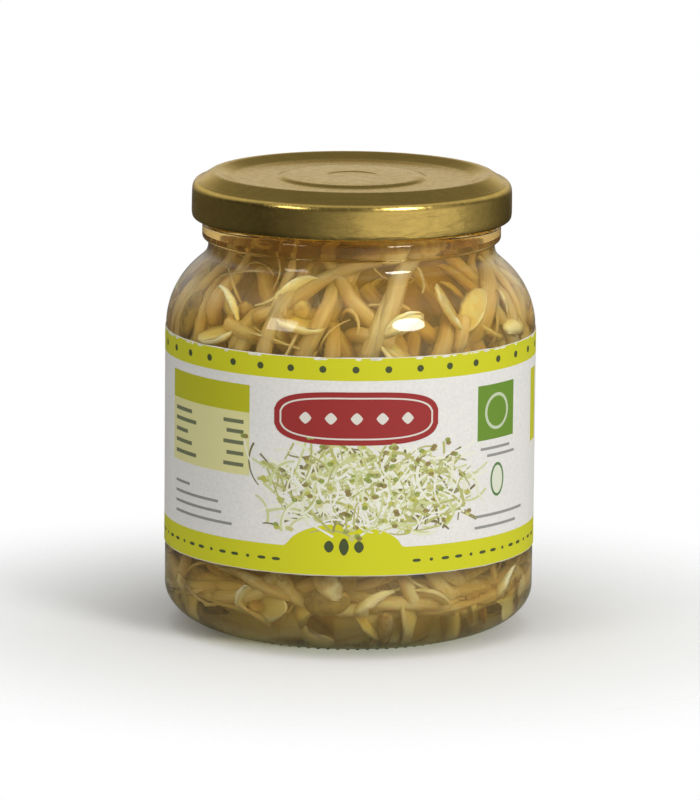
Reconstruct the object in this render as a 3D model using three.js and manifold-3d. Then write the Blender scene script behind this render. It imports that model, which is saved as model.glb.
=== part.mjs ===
// A 370 ml round preserving jar of mung bean sprouts in brine, closed by a 66 mm twist-off lid.
// Millimetres, +Z up. The origin is the centre of the base, on the surface that the jar stands on.
// The front of the label faces -Y.
import * as THREE from "three";
import { mergeVertices } from "three/addons/utils/BufferGeometryUtils.js";
import Module from "manifold-3d";

const wasm = await Module();
wasm.setup();

// Driving dimensions of the glass
const BODY_RADIUS = 40.25;
const WALL = 2.3;
const HEEL_HEIGHT = 9.5;
const HEEL_WIDTH = 15.4;
const BEARING_INNER = 22.5;
const PUSH_UP = 1.2;
const BASE_TOP = 4.2;
const SHOULDER_START = 66.3;
const SHOULDER_RADIUS = 18.3;
const SHOULDER_ANGLE = THREE.MathUtils.degToRad(49);
const SHOULDER_SLOPE = 1.95;
const NECK_RADIUS = 31.2;
const NECK_FILLET = 3.8;
const BEAD_RADIUS = 32.5;
const BEAD_LOW = 85.6;
const BEAD_HIGH = 89.9;
const RIM_TOP = 98.3;
const FINISH_RADIUS = 31;
const MOUTH_RADIUS = 28.6;

// Screw finish: four short threads and the four lugs that hook under them
const LUGS = 4;
const THREAD_SPAN = THREE.MathUtils.degToRad(66);
const THREAD_LOW = 93;
const THREAD_RISE = 2;
const THREAD_DEPTH = 1.2;
const THREAD_HALF_HEIGHT = 0.8;
const LUG_SPAN = THREE.MathUtils.degToRad(17);
const LUG_INNER = 31.6;
const LUG_LOW = 90.5;
const LUG_HIGH = 91.7;

// Lid
const LID_RADIUS = 34.8;
const LID_TOP = 100.1;
const LID_BOTTOM = 89.9;
const LID_SHEET = 0.5;
const LID_CREST = 30;
const LID_PANEL_RADIUS = 26.2;
const LID_PANEL_TOP = 98.8;
const BUTTON_RADIUS = 15.8;
const BUTTON_RISE = 0.5;
const SEAL_GAP = 0.25;

// Label
const LABEL_BOTTOM = 18.8;
const LABEL_TOP = 66.2;
const PAPER = 0.15;
const LABEL_GAP = 0.1;
const LAP_STEPS = 1;
const LABEL_START = THREE.MathUtils.degToRad(112.5);

// Filling
const BRINE_LEVEL = 91;
const BRINE_GAP = 0.3;
const SPROUT_GAP = 0.35;
const PORE = 0.3;
const CORE_INSET = 7;
const STEM_RADIUS = 2.15;
const STEM_INSET = 2.95;
const ROOT_RADIUS = 0.7;
const COTYLEDON = [4.3, 2.5, 1.35];
const COAT = [5, 3.4, 1.9];
const COAT_SHEET = 0.6;
const COTYLEDON_SPREAD = THREE.MathUtils.degToRad(13);
const SEED = 71;
const TRIES = 14;

// Where the sprouts lie: against the wall, between two lengths along the inside of the glass from the
// middle of its floor, and how far they lean from upright; or flat on the floor or on top, within a radius
const ZONES = [
  { count: 12, low: 92, high: 116, lean: 20, spread: 35 },
  { count: 11, low: 30, high: 46, lean: 80, spread: 30 },
  { count: 7, low: 48, high: 90, lean: 60, spread: 50 },
  { count: 3, flat: -1, height: BASE_TOP, within: 22 },
  { count: 3, flat: 1, height: BRINE_LEVEL + 4, within: 25 },
];
const WALL_RUNS = [27, 120];

// Loose seed coats against the glass: turn round the jar, length along the inside of the glass and
// turn in their own plane
const COATS = {
  seed_coat_front: [-97, 41, 12],
  seed_coat_side: [-158, 100, 65],
};

// Resolution of the round pieces
const TURN = 32;
const STEM_SIDES = 5;
const STEM_STEPS = 5;

const solidLook = (color, roughness, metalness = 0) =>
  new THREE.MeshStandardMaterial({ color, roughness, metalness });
const clearLook = (color, roughness, opacity) =>
  new THREE.MeshStandardMaterial({ color, roughness, transparent: true, opacity });
const materials = {
  glass: clearLook(0xdfe6da, 0.05, 0.35),
  gold: solidLook(0xb8963c, 0.3, 1),
  seal: solidLook(0xd8d2bf, 0.6),
  paper: solidLook(0xe6e3da, 0.7),
  brine: clearLook(0xb99a5a, 0.1, 0.4),
  sprout: solidLook(0xc9b489, 0.45),
  hull: solidLook(0x8a6a22, 0.4),
};

// A closed three.js geometry as a solid, and a solid as a geometry
function solidOf(geometry) {
  const bare = geometry.index ? geometry.toNonIndexed() : geometry.clone();
  for (const name of ["normal", "uv"]) bare.deleteAttribute(name);
  const merged = mergeVertices(bare, 1e-4);
  const corners = merged.index.array;
  const triVerts = [];
  for (let i = 0; i < corners.length; i += 3) {
    const [a, b, c] = corners.subarray(i, i + 3);
    if (a !== b && b !== c && a !== c) triVerts.push(a, b, c);
  }
  return new wasm.Manifold(
    new wasm.Mesh({
      numProp: 3,
      vertProperties: merged.getAttribute("position").array,
      triVerts: new Uint32Array(triVerts),
    }),
  );
}

function geometryOf(solid) {
  const { vertProperties, triVerts } = solid.getMesh();
  const geometry = new THREE.BufferGeometry();
  geometry.setAttribute("position", new THREE.BufferAttribute(new Float32Array(vertProperties), 3));
  geometry.setIndex(new THREE.BufferAttribute(new Uint32Array(triVerts), 1));
  geometry.computeVertexNormals();
  return geometry;
}

// A profile of [radius, height] points turned about the Z axis
function turned(profile, segments = TURN) {
  const points = profile.map(([r, z]) => new THREE.Vector2(r, z));
  return solidOf(new THREE.LatheGeometry(points, segments).rotateX(Math.PI / 2));
}

// Points of an elliptical arc in a profile, from angle a to angle b, with radius to the right and height up
function arc(r, z, width, height, a, b, steps) {
  return Array.from({ length: steps + 1 }, (_, i) => {
    const t = a + ((b - a) * i) / steps;
    return [r + width * Math.cos(t), z + height * Math.sin(t)];
  });
}

// The shoulder at a distance inside its outer face: a convex arc, a short slope and a hollow fillet
function shoulder(inset, steps) {
  const convex = SHOULDER_RADIUS - inset;
  const hollow = NECK_FILLET + inset;
  const middle = BODY_RADIUS - SHOULDER_RADIUS;
  const swell = arc(middle, SHOULDER_START, convex, convex, 0, SHOULDER_ANGLE, steps);
  const [r, z] = swell[steps];
  const centreR = r - SHOULDER_SLOPE * Math.sin(SHOULDER_ANGLE) + hollow * Math.cos(SHOULDER_ANGLE);
  const centreZ = z + SHOULDER_SLOPE * Math.cos(SHOULDER_ANGLE) + hollow * Math.sin(SHOULDER_ANGLE);
  const turnIn = arc(centreR, centreZ, hollow, hollow, Math.PI + SHOULDER_ANGLE, Math.PI, steps - 1);
  return [...swell, ...turnIn];
}

// The inside of the glass from the middle of its floor up to the mouth, at a distance inside its face
function innerWall(inset, steps) {
  const radius = BODY_RADIUS - WALL;
  const heelR = HEEL_WIDTH - WALL;
  const heelZ = HEEL_HEIGHT + 1.5 - WALL;
  const middle = radius - heelR;
  const heel = arc(middle, BASE_TOP + heelZ, heelR - inset, heelZ - inset, -Math.PI / 2, 0, steps);
  const mouth = MOUTH_RADIUS - inset;
  return [
    [0, BASE_TOP + inset],
    ...heel,
    ...shoulder(WALL + inset, steps),
    [mouth, BEAD_LOW + 1],
    [mouth, RIM_TOP - 1],
  ];
}

// Glass jar, one blown piece with its threads
function glassJar() {
  const outside = [
    [0, PUSH_UP],
    [BEARING_INNER - 3, PUSH_UP],
    [BEARING_INNER, 0],
    ...arc(BODY_RADIUS - HEEL_WIDTH, HEEL_HEIGHT, HEEL_WIDTH, HEEL_HEIGHT, -Math.PI / 2, 0, 3),
    ...shoulder(0, 3),
    [NECK_RADIUS, BEAD_LOW - 0.5],
    [BEAD_RADIUS - 0.4, BEAD_LOW],
    [BEAD_RADIUS, BEAD_LOW + 0.8],
    [BEAD_RADIUS, BEAD_HIGH - 1.2],
    [FINISH_RADIUS, BEAD_HIGH - 0.2],
    [FINISH_RADIUS, RIM_TOP - 0.6],
    [FINISH_RADIUS - 0.6, RIM_TOP],
    [MOUTH_RADIUS + 0.6, RIM_TOP],
  ];
  let glass = turned([...outside, ...innerWall(0, 3).reverse()]);
  for (let i = 0; i < LUGS; i++) glass = glass.add(thread((i * 2 * Math.PI) / LUGS));
  return glass;
}

// One rib of the screw finish, climbing anticlockwise from angle start
function thread(start) {
  const rib = new THREE.CylinderGeometry(1, 1, 1, 4, 6);
  const place = rib.getAttribute("position");
  for (let i = 0; i < place.count; i++) {
    const along = place.getY(i) + 0.5;
    const fade = Math.min(1, 6 * Math.min(along, 1 - along) + 0.25);
    const angle = start + along * THREAD_SPAN;
    const r = FINISH_RADIUS + place.getX(i) * THREAD_DEPTH * fade;
    const z = THREAD_LOW + along * THREAD_RISE + place.getZ(i) * THREAD_HALF_HEIGHT;
    place.setXYZ(i, r * Math.cos(angle), r * Math.sin(angle), z);
  }
  return upright(solidOf(rib));
}

// Turns a solid's faces outwards where a bend has left them pointing in
function upright(solid) {
  if (solid.volume() > 0) return solid;
  const { vertProperties, triVerts } = solid.getMesh();
  return new wasm.Manifold(new wasm.Mesh({ numProp: 3, vertProperties, triVerts: triVerts.reverse() }));
}

// Lid, one pressing of gold sheet: a sunk panel with its button, a crest over the rim, a rolled-in foot
// and lugs
function lidShell() {
  const panel = LID_PANEL_TOP;
  const button = panel + BUTTON_RISE;
  const top = [
    [0, button],
    [BUTTON_RADIUS - 0.6, button],
    [BUTTON_RADIUS + 0.6, panel],
    [LID_PANEL_RADIUS, panel],
    [LID_CREST - 0.8, LID_TOP],
    [LID_CREST + 0.8, LID_TOP],
    [LID_RADIUS - 1.5, LID_TOP - 1.25],
    [LID_RADIUS - 0.2, LID_TOP - 2.8],
    [LID_RADIUS, LID_TOP - 4.2],
    [LID_RADIUS, LID_BOTTOM + 1.4],
    [LID_RADIUS - 0.4, LID_BOTTOM + 0.4],
    [LID_RADIUS - 1.2, LID_BOTTOM],
  ];
  const under = [
    [LID_RADIUS - 1.9, LID_BOTTOM + 0.4],
    [LID_RADIUS - 1.9, LID_BOTTOM + 1.2],
    [LID_RADIUS - LID_SHEET, LID_BOTTOM + 2],
    [LID_RADIUS - LID_SHEET, LID_TOP - 4.2],
    [LID_RADIUS - LID_SHEET - 0.2, LID_TOP - 3],
    [LID_RADIUS - 1.9, LID_TOP - 1.7],
    [LID_CREST + 0.7, LID_TOP - LID_SHEET],
    [LID_CREST - 0.6, LID_TOP - LID_SHEET],
    [LID_PANEL_RADIUS + 0.1, panel - LID_SHEET],
    [BUTTON_RADIUS + 0.4, panel - LID_SHEET],
    [BUTTON_RADIUS - 0.8, button - LID_SHEET],
    [0, button - LID_SHEET],
  ];
  let lid = turned([...top, ...under].reverse());
  for (let i = 0; i < LUGS; i++) lid = lid.add(lug((i * 2 * Math.PI) / LUGS));
  return lid;
}

// One lug: the rolled foot of the lid pressed inwards
function lug(start) {
  const block = new THREE.BoxGeometry(1, 1, 1, 1, 4, 1);
  const place = block.getAttribute("position");
  for (let i = 0; i < place.count; i++) {
    const angle = start + THREE.MathUtils.degToRad(6) + (place.getY(i) + 0.5) * LUG_SPAN;
    const r = place.getX(i) < 0 ? LUG_INNER : LID_RADIUS - 0.8;
    const z = place.getZ(i) < 0 ? LUG_LOW : LUG_HIGH;
    place.setXYZ(i, r * Math.cos(angle), r * Math.sin(angle), z);
  }
  return upright(solidOf(block));
}

// Sealing ring, cast into the lid's channel over the rim of the glass
function sealingRing() {
  const low = RIM_TOP + SEAL_GAP;
  const high = LID_TOP - LID_SHEET - SEAL_GAP;
  const inner = MOUTH_RADIUS + 0.2;
  const outer = FINISH_RADIUS + 0.5;
  return turned([[inner, low], [outer, low], [outer - 0.4, high], [inner + 1, high], [inner, low]]);
}

// Label, one strip of paper wrapped round the glass with its ends lapped at the back
function label() {
  const steps = TURN + LAP_STEPS;
  const edge = (lift) =>
    Array.from({ length: steps + 1 }, (_, i) => {
      const angle = LABEL_START + (i * 2 * Math.PI) / TURN;
      const rise = THREE.MathUtils.clamp(i - TURN + 1, 0, 1) * (PAPER + LABEL_GAP);
      const r = BODY_RADIUS + LABEL_GAP + lift + rise;
      return new THREE.Vector2(r * Math.cos(angle), r * Math.sin(angle));
    });
  const outline = new THREE.Shape([...edge(PAPER), ...edge(0).reverse()]);
  const depth = LABEL_TOP - LABEL_BOTTOM;
  const strip = new THREE.ExtrudeGeometry(outline, { depth, bevelEnabled: false });
  return solidOf(strip.translate(0, 0, LABEL_BOTTOM));
}

// The inside of the glass as a fine line with the length run along it, for laying sprouts against the glass
const wallLine = innerWall(0, 12).map(([r, z]) => new THREE.Vector2(r, z));
const wallRun = wallLine.map((_, i) =>
  wallLine.slice(1, i + 1).reduce((sum, point, j) => sum + point.distanceTo(wallLine[j]), 0),
);

function alongWall(run) {
  const i = THREE.MathUtils.clamp(wallRun.findIndex((length) => length > run), 1, wallRun.length - 1);
  const t = (run - wallRun[i - 1]) / (wallRun[i] - wallRun[i - 1]);
  return wallLine[i - 1].clone().lerp(wallLine[i], t);
}

// A place at a depth behind the glass, with the direction straight out through the glass
function behindGlass(run, turn, depth) {
  const here = alongWall(run);
  const along = alongWall(run + 1.5).sub(alongWall(run - 1.5)).normalize();
  const spot = new THREE.Vector3(Math.max(here.x - depth * along.y, 0.5), 0, here.y + depth * along.x);
  const out = new THREE.Vector3(along.y, 0, -along.x);
  const axis = new THREE.Vector3(0, 0, 1);
  return { spot: spot.applyAxisAngle(axis, turn), out: out.applyAxisAngle(axis, turn), radius: here.x };
}

function seeded(seed) {
  let state = seed >>> 0;
  return () => {
    state = (state + 0x6d2b79f5) >>> 0;
    let t = Math.imul(state ^ (state >>> 15), 1 | state);
    t = (t + Math.imul(t ^ (t >>> 7), 61 | t)) ^ t;
    return ((t ^ (t >>> 14)) >>> 0) / 4294967296;
  };
}

// One sprout's path: it rises out of the packed core, lies along the glass and ends in its head or its
// root. There is none where the path would leave the wall
function drawSprout(zone, random) {
  const length = 26 + 14 * random();
  const tilt = THREE.MathUtils.degToRad(zone.lean + zone.spread * (2 * random() - 1));
  const lean = tilt * (random() < 0.5 ? -1 : 1);
  const bend = (random() - 0.5) * 0.06;
  const inset = STEM_INSET + random();
  const stem = STEM_RADIUS * (0.86 + 0.14 * random());
  let run = zone.low + (zone.high - zone.low) * random();
  let turn = 2 * Math.PI * random();
  let heading = random() < 0.75 ? lean : Math.PI + lean;
  const nodes = [];
  const step = length / STEM_STEPS;
  for (let i = 0; i <= STEM_STEPS; i++) {
    const dive = Math.max(0, 1 - i / 1.6) ** 1.5 * (CORE_INSET + 1.5 - inset);
    nodes.push(behindGlass(run, turn, inset + dive));
    run += step * Math.cos(heading);
    turn += (step * Math.sin(heading)) / nodes[i].radius;
    heading += bend * step;
    if (run < WALL_RUNS[0] || run > WALL_RUNS[1]) return null;
  }
  return { nodes, stem, rootOut: random() < 0.22, twist: random() * Math.PI, hook: (random() - 0.5) * 1.8 };
}

// A sprout's path flat on the floor or on top of the filling, or nothing where it would leave the round
function drawFlat(zone, random) {
  const length = 24 + 10 * random();
  const bend = (random() - 0.5) * 0.08;
  const step = length / STEM_STEPS;
  const depth = STEM_INSET + random();
  const out = new THREE.Vector3(0, 0, zone.flat);
  let heading = 2 * Math.PI * random();
  const here = new THREE.Vector2(zone.within * (2 * random() - 1), zone.within * (2 * random() - 1));
  const nodes = [];
  for (let i = 0; i <= STEM_STEPS; i++) {
    if (here.length() > zone.within) return null;
    const dive = i === 0 ? CORE_INSET - 1 - depth : 0;
    nodes.push({ spot: new THREE.Vector3(here.x, here.y, zone.height - zone.flat * (depth + dive)), out });
    here.add(new THREE.Vector2(Math.cos(heading), Math.sin(heading)).multiplyScalar(step));
    heading += bend * step;
  }
  const stem = STEM_RADIUS * 0.95;
  return { nodes, stem, rootOut: random() < 0.3, twist: random() * Math.PI, hook: random() - 0.5 };
}

// Each sprout is the roomiest of several seeded draws, so that they cover the glass evenly
function placeSprouts() {
  const random = seeded(SEED);
  const placed = [];
  const spots = [];
  const room = (sprout) =>
    sprout.nodes.slice(1).reduce((sum, node) => {
      const nearest = spots.reduce((least, spot) => Math.min(least, spot.distanceTo(node.spot)), 14);
      return sum + nearest;
    }, 0);
  for (const zone of ZONES) {
    for (let i = 0; i < zone.count; i++) {
      const draws = [];
      while (draws.length < TRIES) {
        const draw = zone.flat ? drawFlat(zone, random) : drawSprout(zone, random);
        if (draw) draws.push(draw);
      }
      const rooms = draws.map(room);
      const best = draws[rooms.indexOf(Math.max(...rooms))];
      placed.push(best);
      spots.push(...best.nodes.map((node) => node.spot));
    }
  }
  return placed;
}

// A closed tube through the nodes of a path, with a radius at each
function tube(nodes, radii) {
  const places = [nodes[0].spot.toArray()];
  nodes.forEach(({ spot, out }, i) => {
    const before = nodes[Math.max(i - 1, 0)].spot;
    const after = nodes[Math.min(i + 1, nodes.length - 1)].spot;
    const along = after.clone().sub(before).normalize();
    const side = along.clone().cross(out).normalize();
    const up = side.clone().cross(along);
    for (let k = 0; k < STEM_SIDES; k++) {
      const angle = (2 * Math.PI * k) / STEM_SIDES;
      const p = spot.clone().addScaledVector(up, radii[i] * Math.cos(angle));
      places.push(p.addScaledVector(side, radii[i] * Math.sin(angle)).toArray());
    }
  });
  places.push(nodes[nodes.length - 1].spot.toArray());
  const last = places.length - 1;
  const index = [];
  for (let k = 0; k < STEM_SIDES; k++) {
    const next = (k + 1) % STEM_SIDES;
    index.push(0, 1 + k, 1 + next, last, last - STEM_SIDES + next, last - STEM_SIDES + k);
    for (let i = 0; i < nodes.length - 1; i++) {
      const a = 1 + i * STEM_SIDES + k;
      const b = 1 + i * STEM_SIDES + next;
      index.push(a, a + STEM_SIDES, b, b, a + STEM_SIDES, b + STEM_SIDES);
    }
  }
  const geometry = new THREE.BufferGeometry();
  geometry.setAttribute("position", new THREE.Float32BufferAttribute(places.flat(), 3));
  geometry.setIndex(index);
  return upright(solidOf(geometry));
}

// One sprout grown by a margin: a stem with a bean head of two open halves, or with its root tip, at
// the glass
function sproutSolid({ nodes, stem, rootOut, twist, hook }, margin) {
  const taper = (i) => (rootOut && i > STEM_STEPS - 3 ? (STEM_STEPS - i) / 3 : 1);
  const radii = nodes.map((_, i) => ROOT_RADIUS + (stem - ROOT_RADIUS) * taper(i) + margin);
  const parts = [tube(nodes, radii)];
  if (rootOut) return parts;
  const end = nodes[STEM_STEPS];
  const along = end.spot.clone().sub(nodes[STEM_STEPS - 1].spot).normalize().applyAxisAngle(end.out, hook);
  const flat = end.out.clone().applyAxisAngle(along, twist);
  for (const half of [-1, 1]) {
    const bean = new THREE.SphereGeometry(1, 5, 3).rotateZ(Math.PI / 2);
    bean.scale(...COTYLEDON.map((size) => size + margin));
    bean.translate(COTYLEDON[0] * 0.75, 0, half * (COTYLEDON[2] + 0.25)).rotateY(-half * COTYLEDON_SPREAD);
    const side = flat.clone().cross(along).normalize();
    bean.applyMatrix4(new THREE.Matrix4().makeBasis(along, side, along.clone().cross(side)));
    bean.translate(...end.spot.clone().addScaledVector(end.out, -0.4).toArray());
    parts.push(upright(solidOf(bean)));
  }
  return parts;
}

// The inside of the jar up to a height, at a distance inside the glass
function inside(inset, top, segments = TURN) {
  const line = innerWall(inset, 3).filter(([, z]) => z < top - 0.5);
  const [r] = line[line.length - 1];
  return turned([...line, [r, top], [0, top]], segments);
}

// The close-packed middle of the filling, which the sprouts at the glass stand out of
function core(margin) {
  const r = BODY_RADIUS - WALL - CORE_INSET + margin;
  const neck = MOUTH_RADIUS - CORE_INSET + 1.5 + margin;
  const low = BASE_TOP + CORE_INSET - 2.5 - margin;
  const high = BRINE_LEVEL - 0.5 + margin;
  const outline = [
    [0, low],
    [r * 0.72, low],
    [r, low + 9],
    [r, SHOULDER_START],
    [neck, BEAD_LOW - 2],
    [neck, high],
    [0, high],
  ];
  return turned(outline, 12);
}

// The largest closed body of a solid, without the scraps that a cut leaves beside it
function largest(solid) {
  return solid.decompose().reduce((most, body) => (body.volume() > most.volume() ? body : most));
}

// A seed coat: a thin cupped shell with its back to the glass, grown by a margin
function coat([turn, run, spin], margin) {
  const { spot, out } = behindGlass(run, THREE.MathUtils.degToRad(turn), SPROUT_GAP + COAT[2] + 0.5);
  const dome = (shrink) => {
    const sizes = COAT.map((size) => size - shrink);
    return solidOf(new THREE.SphereGeometry(1, 8, 4).rotateX(Math.PI / 2).scale(...sizes));
  };
  const half = new THREE.BoxGeometry(20, 20, 10).translate(0, 0, 5.4 - margin);
  const cup = dome(-margin).subtract(dome(COAT_SHEET + margin)).intersect(solidOf(half));
  const along = new THREE.Vector3(0, 0, 1).cross(out).normalize();
  along.applyAxisAngle(out, THREE.MathUtils.degToRad(spin));
  const pose = new THREE.Matrix4().makeBasis(along, out.clone().cross(along), out).setPosition(spot);
  return cup.transform(pose.elements);
}

// All the sprouts and their core in one body, grown by a margin
function packed(margin) {
  return wasm.Manifold.union([core(margin), ...SPROUTS.flatMap((sprout) => sproutSolid(sprout, margin))]);
}

const SPROUTS = placeSprouts();
const coats = Object.entries(COATS).map(([name, place]) => [name, coat(place, 0)]);
const coatRoom = wasm.Manifold.union(Object.values(COATS).map((place) => coat(place, PORE)));
const sprouts = packed(0).subtract(coatRoom).intersect(inside(SPROUT_GAP, RIM_TOP - 2));
const brine = inside(BRINE_GAP, BRINE_LEVEL).subtract(packed(PORE)).subtract(coatRoom);

const jar = new THREE.Group();
const add = (name, solid, material) => {
  const mesh = new THREE.Mesh(geometryOf(solid), material);
  mesh.name = name;
  jar.add(mesh);
};
add("glass_jar", glassJar(), materials.glass);
add("lid", lidShell(), materials.gold);
add("sealing_ring", sealingRing(), materials.seal);
add("label", label(), materials.paper);
add("sprouts", largest(sprouts), materials.sprout);
add("brine", largest(brine), materials.brine);
for (const [name, solid] of coats) add(name, solid, materials.hull);

export default jar;
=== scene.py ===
"""A jar of mung bean sprouts in brine: glass, lid, label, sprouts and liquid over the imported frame."""

import bisect
import math
import random
from collections import namedtuple

import bpy
from mathutils import Euler, Matrix, Vector, noise


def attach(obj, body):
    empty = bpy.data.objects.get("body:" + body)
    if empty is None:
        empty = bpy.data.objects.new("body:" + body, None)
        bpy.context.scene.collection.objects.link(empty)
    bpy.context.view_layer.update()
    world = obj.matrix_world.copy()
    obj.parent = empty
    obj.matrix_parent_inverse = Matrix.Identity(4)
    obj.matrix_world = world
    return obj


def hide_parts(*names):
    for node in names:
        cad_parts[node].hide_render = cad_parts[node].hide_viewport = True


bl_info = {
    "name": "Jar of bean sprouts",
    "version": (1, 0, 0),
    "blender": (4, 5, 0),
    "location": "3D View > Sidebar > Sprout Jar",
    "description": "Makes a round preserving jar of bean sprouts in brine with its twist-off lid and label",
    "category": "Object",
}

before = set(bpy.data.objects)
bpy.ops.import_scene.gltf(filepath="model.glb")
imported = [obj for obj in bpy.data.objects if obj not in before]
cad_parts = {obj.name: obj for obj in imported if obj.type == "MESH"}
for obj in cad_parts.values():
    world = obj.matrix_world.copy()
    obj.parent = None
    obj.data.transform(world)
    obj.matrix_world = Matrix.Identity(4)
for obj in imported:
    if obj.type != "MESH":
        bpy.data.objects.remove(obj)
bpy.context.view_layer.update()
MM = 0.001

# The glass, lid and label in millimetres, as in the part's source
BODY_RADIUS = 40.25
WALL = 2.3
HEEL_HEIGHT = 9.5
HEEL_WIDTH = 15.4
BEARING_INNER = 22.5
PUSH_UP = 1.2
BASE_TOP = 4.2
SHOULDER_START = 66.3
SHOULDER_RADIUS = 18.3
SHOULDER_ANGLE = math.radians(49)
SHOULDER_SLOPE = 1.95
NECK_RADIUS = 31.2
NECK_LOW = 84.3
NECK_FILLET = 3.8
BEAD_RADIUS = 32.5
BEAD_LOW = 85.6
BEAD_HIGH = 89.9
RIM_TOP = 98.3
FINISH_RADIUS = 31
MOUTH_RADIUS = 28.6
LUGS = 4
LID_RADIUS = 34.8
LID_TOP = 100.1
LID_BOTTOM = 89.9
LID_SHEET = 0.5
LID_CREST = 30
LID_PANEL_RADIUS = 26.2
LID_PANEL_TOP = 98.8
BUTTON_RADIUS = 15.8
LABEL_BOTTOM = 18.8
LABEL_TOP = 66.2
LABEL_INNER = 40.3
LABEL_OUTER = 40.42
LABEL_START = math.radians(112.5)
LABEL_LAP = 11.25
BRINE_LEVEL = 91
STEM_STEPS = 5
CORE_INSET = 7
COTYLEDON = (4.3, 2.5, 1.35)
COTYLEDON_SPREAD = math.radians(13)
COAT = (5, 3.4, 1.9)
# Turn round the jar, length along the wall and spin, in degrees and millimetres
COATS = {"seed_coat_front": (-97, 41, 12), "seed_coat_side": (-158, 100, 65)}

# How the part's source places its sprouts: at the wall, how many, between which lengths along it, and how
# far they lean and how much that varies; flat, how many, on the floor (-1) or on top (1), at which height
# and radius
STEM_RADIUS = 2.15
STEM_INSET = 2.95
WALL_ZONES = ((12, 92, 116, 20, 35), (11, 30, 46, 80, 30), (7, 48, 90, 60, 50))
FLAT_ZONES = ((3, -1, BASE_TOP, 22), (3, 1, BRINE_LEVEL + 4, 25))
WALL_RUNS = (27, 120)
SEED = 71
TRIES = 14

# More sprouts of the same kind, layer by layer: how many, between which lengths along the wall, at which
# depths, how far they lean and how much that varies, how thick they are, and the draws that each is the
# roomiest of
EXTRA = (
    (104, (86, 124), (2.5, 4), 6, 28, (1.7, 2.45), 4),
    (70, (22, 48), (2.5, 4), 82, 34, (1.6, 2.3), 3),
    (60, (24, 41), (2, 3), 88, 30, (1.3, 1.9), 2),
    (14, (50, 86), (3, 5), 60, 60, (1.7, 2.2), 1),
    (84, (86, 122), (5.5, 8.5), 14, 40, (1.6, 2.2), 2),
    (60, (22, 48), (5.5, 9), 80, 50, (1.6, 2.2), 2),
    (30, (30, 118), (9, 13), 45, 90, (1.7, 2.2), 1),
    (60, (88, 122), (1, 3.5), 30, 70, (0.25, 0.5), 1),
    (80, (24, 47), (1, 3.5), 70, 80, (0.25, 0.5), 1),
)
EXTRA_RUNS = (16, 127)
FLOOR_SPROUTS = 44
MIDDLE_INSET = 10.5

# Heads that lie open against the glass: turn round the jar, length along the wall, heading and size
OPEN_HEADS = (
    (-137, 100, -75, 1.25), (-114, 106, 70, 1.4), (-48, 103, 12, 1.4), (-75, 99, 100, 1.3),
    (-83, 37, 85, 1.3), (-66, 41, 150, 1.2), (-26, 38, 60, 1.3), (-124, 36, 30, 1.1), (12, 101, 60, 1.3),
    (64, 100, -120, 1.4), (118, 103, 20, 1.3), (167, 99, 110, 1.4), (25, 38, -70, 1.2), (80, 40, 100, 1.3),
    (140, 37, 170, 1.2),
)


def number_setting(name, description, value, **limits):
    return bpy.props.FloatProperty(name=name, description=description, default=value, **limits)


class JarSizes(bpy.types.PropertyGroup):
    """Sizes that a user would change."""
    stem_scale: number_setting("Stem thickness", "How thick the stems are, against the part's", 1.0,
                               min=0.5, max=1.5, subtype="FACTOR")
    bean_scale: number_setting("Bean size", "How large the bean halves are, against the part's", 1.0,
                               min=0.5, max=1.3, subtype="FACTOR")
    round_steps: bpy.props.IntProperty(name="Round steps", description="Facets round the glass and the lid",
                                       default=160, min=32, max=256)
    camera_distance: number_setting("Camera distance", "From the camera to the jar's middle", 1.5295,
                                    unit="LENGTH")
    camera_height: number_setting("Aim height", "Height that the camera looks at", 0.0496, unit="LENGTH")
    camera_elevation: number_setting("Elevation", "How far the camera looks down", math.radians(10.545),
                                     subtype="ANGLE")
    camera_roll: number_setting("Roll", "How far the camera is turned about its own line",
                                math.radians(0.553), subtype="ANGLE")


def colour_setting(name, description, value):
    return bpy.props.FloatVectorProperty(name=name, description=description, default=value, size=3,
                                         min=0.0, max=1.0, subtype="COLOR")


class JarColours(bpy.types.PropertyGroup):
    """Colours that a user would change."""
    glass: colour_setting("Glass", "Tint of the glass", (0.93, 0.96, 0.92))
    gold: colour_setting("Lid lacquer", "Gold lacquer on the tinplate", (0.64, 0.445, 0.115))
    stem: colour_setting("Stem", "Pale flesh of the stems", (0.88, 0.70, 0.41))
    bean: colour_setting("Bean", "Flesh of the bean halves", (0.96, 0.80, 0.42))
    hull: colour_setting("Seed coat", "Skin of the beans", (0.50, 0.34, 0.08))
    paper: colour_setting("Paper", "Label paper", (0.80, 0.78, 0.735))
    lime: colour_setting("Lime ink", "Bands of the label", (0.62, 0.61, 0.014))
    maroon: colour_setting("Maroon ink", "Plaque of the label", (0.33, 0.03, 0.028))


def sizes():
    return bpy.context.scene.jar_sizes


def colours():
    return bpy.context.scene.jar_colours


# Meshes

def link(name, mesh, *materials):
    """A new object at the origin with its materials."""
    piece = bpy.data.objects.new(name, mesh)
    bpy.context.scene.collection.objects.link(piece)
    for material in materials:
        piece.data.materials.append(material)
    return piece


def solid(name, verts, faces, smooth=True):
    """A mesh from points in millimetres and faces."""
    mesh = bpy.data.meshes.new(name)
    mesh.from_pydata([Vector(v) * MM for v in verts], [], faces)
    mesh.polygons.foreach_set("use_smooth", [smooth] * len(mesh.polygons))
    mesh.update()
    return mesh


def circle(count):
    """Angles evenly round a circle."""
    return [2 * math.pi * k / count for k in range(count)]


def from_front(angle, r, z):
    """A place at an angle from the front of the jar, a radius and a height."""
    return (r * math.sin(angle), -r * math.cos(angle), z)


def at_turn(turn, r, z):
    """A place at a turn round the jar from its right, a radius and a height."""
    return Vector((r * math.cos(turn), r * math.sin(turn), z))


def kept_on(mesh, name, values, kind="FLOAT", key="value"):
    """Values that the points of a mesh carry under a name."""
    mesh.attributes.new(name, kind, "POINT").data.foreach_set(key, values)


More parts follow.
